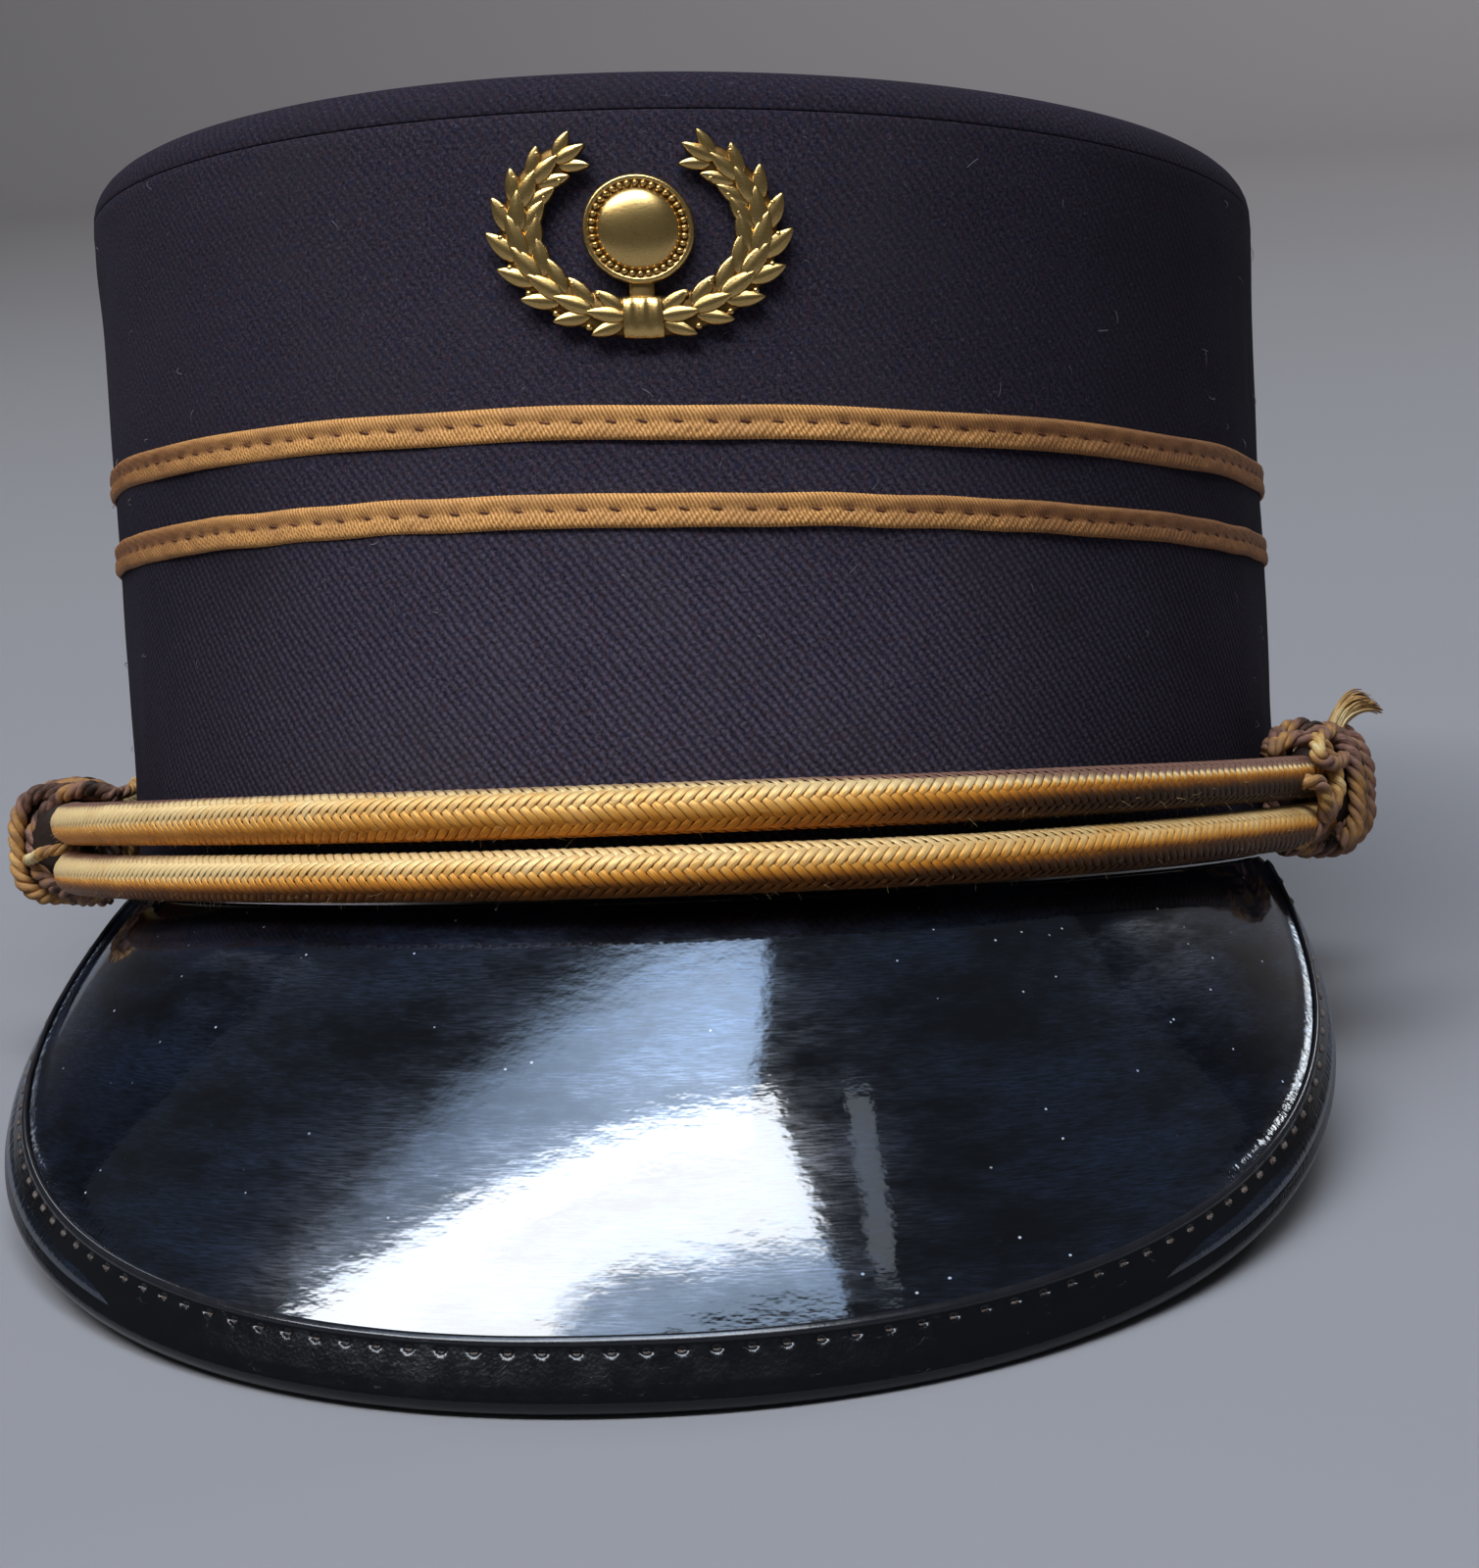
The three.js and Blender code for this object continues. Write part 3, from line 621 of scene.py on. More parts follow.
def patent(name):
    """Patent leather: black and glossy, with fine sideways orange peel, under a rougher bluish film where it is
    rubbed, streaked, stroked or scratched, and specks of dust. Its rim, where the tone is high, is puckered by
    the binding."""
    f = Finish(name)
    place = f.place()
    peel = f.streaks(place, 0.5, 0.62, 2, 0.55)
    wave = f.streaks(place, 0.08, 0.16)
    streak = f.streaks(place, 0.20, 1.3, 6, 0.85, 0.14)
    rub = f.streaks(place, 0.035, 0.08, 6, 0.7, 0.1)
    stroke = f.streaks(place, 0.45, 4.2, 3, 0.7, 0.14)
    pucker = f.streaks(place, 1.3, 0.25, 3, 0.7) * f.tone()
    scratch = f.node("TexWave", {"wave_type": "BANDS"}, {
        "Vector": f.scaled(place, 0.05, 0.5, 1, 0.5), "Scale": 0.6, "Distortion": 14.0, "Detail": 4.0,
        "Detail Scale": 1.5}, 1)
    scratch = scratch.span(0.995, 1.0) * f.cloud(place, 0.1).span(0.58, 0.7)
    speck = f.node("TexVoronoi", None, {"Vector": place, "Scale": 0.34, "Randomness": 1.0})
    speck = speck.span(0.066, 0.040) * f.cloud(place, 0.12, 1).span(0.47, 0.54)
    worn = (streak.span(0.30, 0.70) * 0.6 + 0.4) * rub.span(0.36, 0.68) * stroke.span(0.36, 0.64, 0.3, 1.5)
    rubbed = (worn + scratch * 0.6).least(1.0)
    colour = f.blend(rubbed, (0.0020, 0.0026, 0.0042), (0.010, 0.015, 0.028))
    colour = f.blend(speck, colour, (0.60, 0.62, 0.66))
    relief = wave * 0.25 + peel * 0.3 + stroke * 0.03 + pucker * 2.5
    return f.done(
        Base_Color=colour, Roughness=rubbed * 0.05 + 0.035, Specular=0.5, IOR=1.66,
        Coat_Weight=rubbed * f.parts(place)[1].span(2, 9, 0.1, 1.0), Coat_Roughness=0.21, Coat_IOR=1.62,
        Coat_Tint=(0.58, 0.76, 1.0, 1), Normal=f.bump(relief, 0.00012, 0.5))


def binding_leather(name):
    """Black binding leather: fine grain, small scuffs, rubbed a little greyer where it stands proud: wear and
    painted highlight.
    """
    f = Finish(name)
    place, tone = f.place(), f.tone()
    grain = f.node("TexVoronoi", None, {"Vector": place, "Scale": 2.2})
    cloud = f.cloud(place, 0.25, 4, 0.7)
    scuff = f.streaks(place, 0.25, 1.2, 4, 0.75).span(0.62, 0.75)
    colour = f.layered(
        f.blend((tone * 0.6 + cloud * 0.35).span(0.3, 0.95), (0.0035, 0.0035, 0.0045), (0.020, 0.020, 0.024)),
        (scuff * 0.5, (0.09, 0.085, 0.09)))
    return f.done(
        Base_Color=colour, Roughness=cloud.span(0.3, 0.7, 0.13, 0.22) + scuff * 0.2, Specular=0.45,
        Normal=f.bump((grain * 0.5 + cloud * 0.6) * (1.0 - tone), 0.00006, 0.6))


def gilt(name):
    """Gilt brass: warm gold, browner in its hollows where the tone is low, fine handling marks."""
    f = Finish(name)
    where = f.where()
    cloud = f.cloud(where, 260, 3, 0.6)
    marks = f.cloud(f.scaled(where, 1, 1, 6), 900, 3, 0.7)
    hollow = (f.tone() + cloud * 0.3 - 0.15).span(0.05, 0.6)
    colour = f.blend(hollow, (0.14, 0.070, 0.020), (0.70, 0.46, 0.165))
    colour = f.blend(cloud.span(0.55, 0.75, 0, 0.5), colour, (0.62, 0.38, 0.13))
    return f.done(
        Base_Color=colour, Metallic=1.0, Roughness=hollow.span(0, 1, 0.46, 0.24) + marks * 0.08,
        Normal=f.bump(marks, 0.00002, 0.6))


def floor_finish(name):
    """Plain pale floor with the faintest cloudiness."""
    f = Finish(name)
    colour = f.blend(f.cloud(f.where(), 1.2), (0.270, 0.262, 0.268), (0.292, 0.283, 0.288))
    return f.done(Base_Color=colour, Roughness=0.85, Specular=0.2)


# ---- Crown


def rounded_wall(low, high, thickness, rim, crease, rows):
    """Closed section (height, outward): up the outer face, over a rounded top, down the inner face and round
    the bottom. rim is the radius of the corners, but for the outer top one, the crease."""
    corner = np.linspace(0, math.pi / 2, 4)
    c, s = np.cos(corner), np.sin(corner)
    return np.concatenate([
        spread(np.linspace(low + rim, high - crease, rows), 0),
        spread(high - crease + crease * s, crease * c - crease)[1:],
        spread(high - rim + rim * c, rim - thickness - rim * s),
        spread(np.linspace(high - rim, low + rim, rows // 4), -thickness)[1:],
        spread(low + rim - rim * s, rim - thickness - rim * c)[1:],
        spread(low + rim - rim * c, -rim + rim * s)[:-1]])


def crown_side_cloth():
    """The wall's closed section carried round the oval, with soft unevenness, a sewn groove up its back and a
    slight swell under the top's seam. Its tones paint shade: darker towards its sides and higher up."""
    draw = np.random.default_rng(11)
    angles = even_angles(SIDE_COLUMNS)
    run = girth(angles)
    s = run[:-1, None]
    section = rounded_wall(0, CROWN_HEIGHT - TOP_SEAM + 0.17, CLOTH, rim=0.7, crease=0.16, rows=72)
    height, outward = section.T
    uneven = 0.16 * ripple(draw, s, height, 9, 24, 90) + 0.05 * ripple(draw, s, height, 9, 7, 20)
    fade = smooth(height, 3, 14) * smooth(height, CROWN_HEIGHT - TOP_SEAM, CROWN_HEIGHT - 14)
    behind = np.abs(np.abs(s) - run[-1])
    seam = 0.2 * bell(behind, 2.2, 1.2) - 0.45 * bell(behind, 0, 0.7)
    hem = 0.10 * bell(height - CROWN_HEIGHT + TOP_SEAM, -0.9, 0.8)
    swell = smooth(outward, -0.6, 0) * (uneven * fade + seam + hem)
    points = crown_point(angles[:-1, None], height, outward + swell)
    x, high = points[..., 0], smooth(height, 46, 66)
    # Painted shade: the tone darkens the cloth towards both sides and above about 46 mm
    tones = 0.14 * high + 0.70 * smooth(x, 8, 80) * (1 - 0.25 * high) + (0.62 - 0.42 * high) * smooth(-x, 5, 70)
    return skin(points[None], spread(run[:, None], 0.7 + distance(wrapped(section)))[None], tones=tones)


def crown_top_cloth():
    """The flat top and its turned-down edge: a section from the middle of the top out over a quarter round of
    5 mm, down to the seam, back inside and in under the top, carried round the oval. Inside a ring 8 mm from
    the wall the oval shrinks to its middle and the cloth dips a little."""
    draw = np.random.default_rng(12)
    angles = even_angles(TOP_COLUMNS)
    seam = CROWN_HEIGHT - TOP_SEAM + 0.2
    quarter = np.radians([90, 78, 66, 54, 42, 30, 18, 6, 0])
    ring = -8.0
    centre = np.array([CROWN_HEIGHT - TOP_EDGE_RADIUS, -TOP_EDGE_RADIUS])
    outer, inner = (
        centre + radius * spread(np.sin(quarter), np.cos(quarter))
        for radius in (TOP_EDGE_RADIUS, TOP_EDGE_RADIUS - CLOTH))
    fold = [(seam + 0.2, 0), (seam + 0.05, -0.07), (seam, -0.3), (seam, -CLOTH + 0.3), (seam + 0.3, -CLOTH)]
    edge = np.concatenate([[(CROWN_HEIGHT, ring)], outer, fold, inner[::-1], [(CROWN_HEIGHT - CLOTH, ring)]])
    rim = crown_point(angles[:-1], edge[:, :1], edge[:, 1:])
    shares = np.concatenate([[0.004], np.linspace(0.03, 0.96, 32), [0.995]])
    middle = rim[0].mean(0)
    upper = middle + (rim[0] - middle) * shares[:, None, None]
    dip = smooth(shares, 1, 0.75)[:, None]
    upper[..., 2] += dip * (0.35 * ripple(draw, upper[..., 0], upper[..., 1], 8, 30, 110) - 0.5)
    below = middle - UP * CLOTH
    under = below + (rim[-1] - below) * np.linspace(1, 0.05, 12)[1:, None, None]
    beyond = distance(edge)
    places = np.concatenate([
        wrapped(upper)[..., :2],
        spread(girth(angles), (seam + beyond[len(outer) + 3] - beyond)[:, None]),
        wrapped(under)[..., :2] + 60])
    points = np.concatenate([upper, rim, under])
    # Painted shade: the whole top takes a tone of 0.42, darker than the front of the wall
    return skin(points[None], places[None], ([upper[0].mean(0)], [below]), 0.42)


# ---- Stripes


def stripe_braid(middle):
    """A flat braid of two low ridges with a shallow groove just above its middle: its thickness over the wall
    is two flattened humps, plus fine upright ribs on the upper one and slanted lumps on the lower one, drawn
    down where a stitch holds the groove."""
    draw = np.random.default_rng(int(middle))
    angles = even_angles(BRAID_COLUMNS)
    run = girth(angles)
    across = np.concatenate([np.linspace(-1, 1, 13), [1.0, 0.4, -0.4, -1.0]])
    top = np.arange(17) < 13
    v = across * STRIPE_WIDTH / 2
    middle_line = 0.06
    upper = across > middle_line
    reach = np.where(upper, (across - middle_line) / (1 - middle_line), (middle_line - across) / (1 + middle_line))
    ridge = (1 - np.abs(2 * reach.clip(0, 1) - 1) ** 3.5) ** 0.6
    s = run[:-1, None]
    wander = 0.35 * ripple(draw, s, 0 * s, 5, 6, 25)
    stitch = bell((s + wander + STRIPE_STITCH / 2) % STRIPE_STITCH, STRIPE_STITCH / 2, 0.8)
    upper_rib = np.cos(TURN * (s - 0.1 * v) / 0.58) * 0.035
    lower_rib = np.cos(TURN * (s - 0.9 * v + wander) / 1.0) * 0.085
    uneven = 0.05 * ripple(draw, s, v * 3, 9, 1.6, 6) + 0.03 * ripple(draw, s, v, 6, 6, 20)
    pull = bell(across - middle_line, -0.15, 0.4) * stitch
    high = 0.30 + 0.36 * ridge + (np.where(upper, upper_rib, lower_rib) + uneven) * ridge - 0.16 * pull
    high = np.where(top, np.maximum(high, 0.06), 0.02)
    wobble = 0.10 * ripple(draw, s, 0 * s, 6, 9, 40)
    edge = np.sign(across) * (np.abs(across) > 0.95) * 0.05 * np.cos(TURN * s / 0.58 + across)
    droop = STRIPE_DROOP * (RIM_HALF_WIDTH * np.sin(angles[:-1, None])) ** 2
    points = crown_point(angles[:-1, None], middle + v + wobble + edge, high, -droop)
    x = points[..., 0]
    # Painted shade: darker in the groove, more so at each stitch, and towards both sides; a darker band runs along
    # the upper ridge
    tones = bell(across, middle_line, 0.16) * (0.22 + 0.42 * stitch) * top + 0.38 * bell(across, 0.42, 0.25) * top
    tones = tones + 0.95 * smooth(x, 5, 78) + 0.80 * smooth(-x, 20, 85)
    return skin(points[None], spread(run[:, None], np.append(v, v[0]))[None], tones=tones)


def stripe_stitches(middle):
    """Sewing stitches in the braid's groove: short thread arches, every 4 mm, each slanted a little."""
    total = girth(math.pi) * 2
    count = int(total / STRIPE_STITCH)
    draw = np.random.default_rng(int(middle) + 5)
    starts = -total / 2 + (np.arange(count) + 0.5) * total / count + draw.normal(0, 0.12, count)
    steps = np.linspace(-1, 1, 6)
    s = starts[:, None] + 0.95 * steps
    angle = np.interp(s, girth(ALL_ROUND), ALL_ROUND)
    lean = draw.uniform(0.12, 0.3, (count, 1))
    droop = STRIPE_DROOP * (RIM_HALF_WIDTH * np.sin(angle)) ** 2
    centres = crown_point(angle, middle - lean * steps + 0.12, 0.12 + 0.32 * (1 - steps ** 4), -droop)
    return tubes(centres, UP, crown_normal(angle), round_outline(0.15, 5))


# ---- Chin cord


def eased(points, closed, per_span=24):
    """A curve through points: on each span a cubic whose end slopes come from the neighbouring points, with the
    spans timed by the square root of their lengths. An open curve gets one mirrored point beyond each end."""
    points = np.asarray(points, float)
    if not closed:
        points = np.concatenate([[2 * points[0] - points[1]], points, [2 * points[-1] - points[-2]]])
    p0, p1, p2, p3 = (np.roll(points, shift, 0) for shift in (1, 0, -1, -2))
    d0, d1, d2 = (np.sqrt(np.linalg.norm(b - a, axis=1))[:, None] for a, b in ((p0, p1), (p1, p2), (p2, p3)))
    t1 = ((p1 - p0) / d0 - (p2 - p0) / (d0 + d1) + (p2 - p1) / d1) * d1
    t2 = ((p2 - p1) / d1 - (p3 - p1) / (d1 + d2) + (p3 - p2) / d2) * d1
    t = (np.arange(per_span) / per_span)[None, :, None]
    p1, p2, t1, t2 = (a[:, None] for a in (p1, p2, t1, t2))
    curve = p1 + t1 * t + (3 * (p2 - p1) - 2 * t1 - t2) * t ** 2 + (2 * (p1 - p2) + t1 + t2) * t ** 3
    return (curve if closed else curve[1:-2]).reshape(-1, 3)


def resampled(curve, run, places):
    """Points of a curve at places along it, given the distance of each of its own points."""
    return np.stack([np.interp(places, run, axis) for axis in curve.T], -1)


def beside_button(side, outward):
    """Point at the middle height of the cord's turn at the left (-1) or right (1), so far from the wall."""
    row = -1 if side > 0 else 0
    return crown_point(side * math.pi / 2, CORD_ROUTE[row, 2:].mean(), outward)


def cord_line(count):
    """The cord's centreline at equal steps, its directions along, away from the crown and across, its length."""
    upper, lower = (crown_point(np.radians(CORD_ROUTE[:, 0]), CORD_ROUTE[:, k], CORD_ROUTE[:, 1]) for k in (2, 3))
    turn = EYE_RADIUS * spread(0, np.cos(EYE_ANGLES), np.sin(EYE_ANGLES))
    right, left = (beside_button(side, EYE_OUTWARD) + turn for side in (1, -1))
    closed = wrapped(eased(np.concatenate([upper, right, lower[::-1], left[::-1]]), True))
    run = distance(closed)
    line = resampled(closed, run, np.arange(count) * run[-1] / count)
    along = unit(np.roll(line, -1, 0) - np.roll(line, 1, 0))
    across = unit(np.cross(along, unit(line * [1, 1, 0])))
    return line, along, np.cross(across, along), across, run[-1]


def cord_strands(way):
    """The strands that turn one way: each winds round the cord 39 times in its loop, at a radius of 2.72 mm plus
    or minus 0.24 mm, less at the sides, by a flattened cos(4 turn), so that it lies over three strands of the
    other way, on an eighth of the way round, then dives under three. Tones paint shade underneath, to the right
    and at the ends by the knots, and paint light at the left and on top of the lower strand; they are worn old
    on top to the right and at the left."""
    count = BRAID_STEPS * BRAID_TURNS
    line, along, outward, across, length = cord_line(count)
    part = np.arange(count) / count
    twist = -np.radians(4.5 + 33.5 * np.cos(TURN * (part - 0.24)))
    turn = way * TURN * BRAID_TURNS * part[None] + around(BRAID_STRANDS)[:, None]
    rise = -way * np.cos(4 * turn)
    plain = smooth(np.abs(line[:, 0]), 45, 80)
    radius = STRAND_RADIUS + (STRAND_RISE - 0.13 * plain) * np.tanh(1.3 * rise)
    radial, onward = rolled(outward, across, turn + twist)
    centres = line + radial * radius[..., None]
    pace = way * TURN * BRAID_TURNS * radius / length
    side = unit(np.cross(radial, unit(along + onward * pace[..., None])))
    draw = np.random.default_rng(21 + way)
    fat = 0.78 + 0.16 * smooth(rise, -0.1, 0.5) + 0.05 * plain
    fat = fat * (1 + 0.05 * draw.standard_normal((BRAID_STRANDS, count)))
    outline = np.array([(0.56, 0.05), (0.39, 0.16), (0.0, 0.21), (-0.39, 0.16), (-0.56, 0.05), (0.0, -0.20)])
    up, x = radial[..., 2], line[:, 0]
    upper = smooth(line[:, 2], 6, 8.5)
    right, left = smooth(x, 5, 70), smooth(-x, 20, 80)
    # Painted shade and light: darker underneath, to the right and at the ends by the knots; lighter at the left and
    # on top of the lower strand
    low = smooth(-up, mix(-0.35, -0.45, upper) + 0.25 * left, 0.75 - 0.45 * right - 0.2 * left)
    tone = 0.12 - 0.16 * left + mix(0.06, 0.30, upper) * right + low * (
        mix(0.62, 0.34, upper) + mix(0.1, 0.30, upper) * right + 0.14 * left)
    tone = tone + 0.5 * smooth(np.abs(centres[..., 0]), 91.5, 94.5) - 0.1 * (1 - upper) * smooth(up, 0.3, 0.8)
    old = upper * (0.6 * smooth(up, 0.82, 0.98) + 0.9 * right * smooth(up, 0.36, 0.66)) + 0.8 * smooth(
        -x, 46, 82) * smooth(up, 0.62, 0.95)
    return tubes(centres, side, radial, outline * fat[..., None, None], mix(tone, -1.0, old)[..., None], True)


def cord_core():
    """The cord's filling: a tube inside the braid, painted dark brown as shade between the strands."""
    line, _, outward, across, _ = cord_line(300)
    return tubes(line[None], across[None], outward[None], round_outline(CORE_RADIUS, 10), 1.0, True)


# ---- Knots


def knot_axes(form):
    """The directions along a knot's bore and across it."""
    turn = math.radians(form["turn"])
    return np.array([-math.sin(turn), math.cos(turn), 0]), np.array([math.cos(turn), math.sin(turn), 0])


def wound_cord(path, radius, lay, tones, seed):
    """A twisted cord along a path: three plies whose centres turn round it once every lay, each an oval tube."""
    draw = np.random.default_rng(seed)
    run, ply = distance(path), np.arange(PLIES)[:, None]
    along = unit(np.gradient(path, axis=0))
    side = unit(np.cross(along, [0.13, 0.99, 0.05]))
    radial, beside = rolled(side, np.cross(side, along), TURN * (run / lay + ply / PLIES))
    fat = 1 + 0.08 * ripple(draw, run, ply * 9.0, 5, 2, 7)
    outline = round_outline(radius * PLY_RADIUS, 7, 0.9) * fat[..., None, None]
    return tubes(path + radial * (radius * PLY_OFFSET), beside, radial, outline, np.asarray(tones)[..., None])


def knot_wraps(form):
    """Four turns of thin twisted cord round both strands: a helix on an oval barrel whose half height differs
    above and below, uneven from turn to turn."""
    draw = np.random.default_rng(form["seed"])
    along, across = knot_axes(form)
    t = np.linspace(0, 1, 420)
    turn = TURN * KNOT_TURNS * t - 1.1
    wide = form["wide"] - KNOT_CORD_RADIUS + 0.4 * ripple(draw, t * 60, 0 * t, 5, 6, 20)
    tall = np.where(np.sin(turn) > 0, form["above"], form["below"]) - KNOT_CORD_RADIUS
    tall = tall + 0.5 * ripple(draw, t * 60, 0 * t, 5, 6, 20)
    c, s = (np.sign(v) * np.abs(v) ** 0.72 for v in (np.cos(turn), np.sin(turn)))
    reach = (KNOT_LENGTH / 2 - KNOT_CORD_RADIUS) * (2 * t - 1) + 0.9 * np.sin(turn + 0.6)
    path = np.array(form["centre"]) + along * reach[:, None] + across * (wide * c)[:, None]
    path[:, 2] += tall * s
    tones = 0.62 + 0.25 * ripple(draw, t * 200, 0 * t, 4, 12, 50)
    return wound_cord(path, KNOT_CORD_RADIUS, 6.0, tones, form["seed"] + 1)


def knot_filling(form):
    """The inner turns that close the knot round the strands: an oval barrel, ridged along its length,
    with rounded ends. Its tone of 1.6 paints it nearly black, as painted shade inside the knot."""
    along, across = knot_axes(form)
    part = np.linspace(-1, 1, 25)[:, None]
    turn = around(40)
    full = (1 - np.abs(part) ** 6) ** 0.3 * (1 + 0.03 * np.cos(TURN * part * 2))
    full[[0, -1]] = 0.5
    wide = form["wide"] - FILLING_INSET["wide"]
    tall = np.where(np.sin(turn) > 0, form["above"], form["below"]) - FILLING_INSET["tall"]
    round_ = across * (np.cos(turn) * wide)[:, None] + UP * (np.sin(turn) * tall)[:, None]
    points = np.array(form["centre"]) + along * (part * KNOT_LENGTH * 0.42)[..., None] + round_ * full[..., None]
    places = spread(np.append(turn, TURN) * 6, part * 5)
    return skin(points[None], places[None], ends(points[None]), 1.6)


def knot_strand(points, radius, tone, seed):
    """One more length of thin cord on a knot's face, along a smooth line through a few points."""
    draw = np.random.default_rng(seed)
    curve = eased(points, False)
    run = distance(curve)
    even = np.linspace(0, run[-1], int(run[-1] / 0.28))
    path = resampled(curve, run, even) + 0.12 * ripple(draw, even[:, None], 7.0 * np.arange(3), 6, 3, 9)
    tones = tone + 0.22 * ripple(draw, even, 0 * even, 5, 3, 12)
    return wound_cord(path, radius, 4.6 * radius, tones, seed + 1)


def knot_tail():
    """The frayed end: a dense tuft of loose fibres from the knot, a little wavy, that part towards their tips."""
    draw = np.random.default_rng(44)
    count = 230
    t = np.linspace(0, 1, 14)
    off = draw.normal(0, 1, (count, 2))
    off /= np.maximum(np.linalg.norm(off, axis=1, keepdims=True), 1) / np.sqrt(draw.uniform(0, 1, (count, 1)))
    along = unit(TAIL_TIP - TAIL_BASE)
    side = unit(np.cross([0, 1, 0], along))
    beside = np.cross(along, side)
    long = draw.uniform(0.84, 1.06, (count, 1))
    wide = 1.25 + 0.3 * t
    clump = np.sin(TURN * (t * 1.3 + off[:, :1] * 0.4 + draw.uniform(0, 1, (count, 1)) * 0.25))
    fray = draw.normal(0, 0.42, (count, 2, 1)) * t ** 2.5
    reach = (t * long)[..., None]
    centres = (
        mix(TAIL_BASE - along * 2.2, TAIL_TIP, reach) + [-0.5, 0, 1.9] * (4 * reach * (1.0 - reach))
        + side * (off[:, :1] * wide + 0.10 * clump + fray[:, 0])[..., None]
        + beside * (off[:, 1:] * wide + 0.12 * clump + fray[:, 1])[..., None])
    outline = round_outline(1.0, 5) * np.interp(t, [0, 0.8, 1], [0.17, 0.15, 0.09])[:, None, None]
    tones = draw.uniform(0.0, 0.42, (count, 1, 1)) + 0.3 * smooth(t, 0.55, 1)[:, None]
    return tubes(centres, side, beside, outline, tones)


# ---- Peak


def peak_length(angle):
    """Length of the peak down its slope: full at the front, falling as (1 - part^2.35)^0.72 to its ends."""
    part = np.abs(angle) / PEAK_HALF_ANGLE
    whole = np.clip(1 - part ** PEAK_POWER, 0, 1) ** PEAK_ROOT
    return PEAK_LENGTH * whole * (1 + PEAK_SKEW * angle / PEAK_HALF_ANGLE)


def binding_width(angle):
    """Width of the binding, a little narrower to the sides and at most 0.8 of the peak's length."""
    width = mix(BINDING_WIDTH["front"], BINDING_WIDTH["side"], np.abs(angle) / PEAK_HALF_ANGLE)
    return np.minimum(width, BINDING_MOST * peak_length(angle))


def binding_fit(width):
    """The part of its full size that the binding's section has where it is so wide."""
    return np.clip(width / BINDING_WIDTH["front"], 0.15, 1)


def peak_point(angle, along, depth):
    """Point a distance down the peak's slope from the rim and a depth under its upper face. The slope goes from
    57 degrees at the front to 52 at the sides, and the sheet is arched by a sine of up to 1.4 mm. Above the
    rim the sheet runs level inwards, as its lip."""
    angle, along, depth = alike(angle, along, depth)
    part = angle / PEAK_HALF_ANGLE
    slope = mix(PEAK_SLOPE["front"], PEAK_SLOPE["side"], part ** 2) + PEAK_SLOPE["turn"] * part
    length = peak_length(angle)
    arch = PEAK_BOW * length / PEAK_LENGTH * np.sin(math.pi * np.clip(along / length, 0, 1))
    down = np.maximum(along, 0)
    bend = smooth(along, -0.6, 2.5)
    out = down * np.cos(slope) + (arch - depth) * np.sin(slope) * bend + np.minimum(along, 0)
    up = -down * np.sin(slope) + mix(-depth, (arch - depth) * np.cos(slope), bend)
    return crown_point(angle, 0) + crown_normal(angle) * out[..., None] + UP * (up - GAP)[..., None]


def peak_stations(count):
    """Angles of the peak's sections, closer together towards its two ends."""
    return PEAK_LAST * PEAK_HALF_ANGLE * np.sin(math.pi / 2 * np.linspace(-1, 1, count))


def peak_sheet():
    """The leather sheet: upper face, edge inside the binding, under face and lip as one closed section, closed
    at both ends, with the faint waves of a pressed and varnished sheet."""
    draw = np.random.default_rng(31)
    angles = peak_stations(230)
    length = peak_length(angles)
    edge = np.maximum(length - 2.1, 0.4)
    full = 63.0
    down = np.concatenate([[-PEAK_LIP], np.linspace(-0.8, 1.6, 5), np.linspace(2.6, full, 44)])
    along = np.where(down > 0, down / full * edge[:, None], down)
    depth = np.zeros_like(along)
    under = along[:, ::-1][:, ::3]
    along = np.concatenate([along, under], 1)
    depth = np.concatenate([depth, np.full_like(under, PEAK_THICKNESS)], 1)
    run = girth(angles)[:, None]
    wave = 0.007 * ripple(draw, run * 0.6, along, 12, 9, 40) * smooth(along, 4, 16) * (depth < 1)
    inner = (length - binding_width(angles))[:, None]
    rim = np.clip((along - inner) / 3.4 + 1, 0, 1.15) * smooth(np.abs(angles), 0.36, 0.62)[:, None] * (depth < 1)
    points = peak_point(angles[:, None], along, depth - wave - 0.5 * rim ** 2)
    places = wrapped(spread(run, along + depth * 40))
    return skin(points[None], places[None], ends(points[None]), rim)


def edge_run():
    """Fine angles along the peak's edge, and the distance to each from its left end."""
    fine = peak_stations(3000)
    return fine, distance(peak_point(fine, peak_length(fine), PEAK_THICKNESS / 2))


def even_edge(count):
    """Angles equally far apart along the peak's edge, and the distance to each."""
    fine, run = edge_run()
    even = np.linspace(0, run[-1], count)
    return np.interp(even, run, fine), even


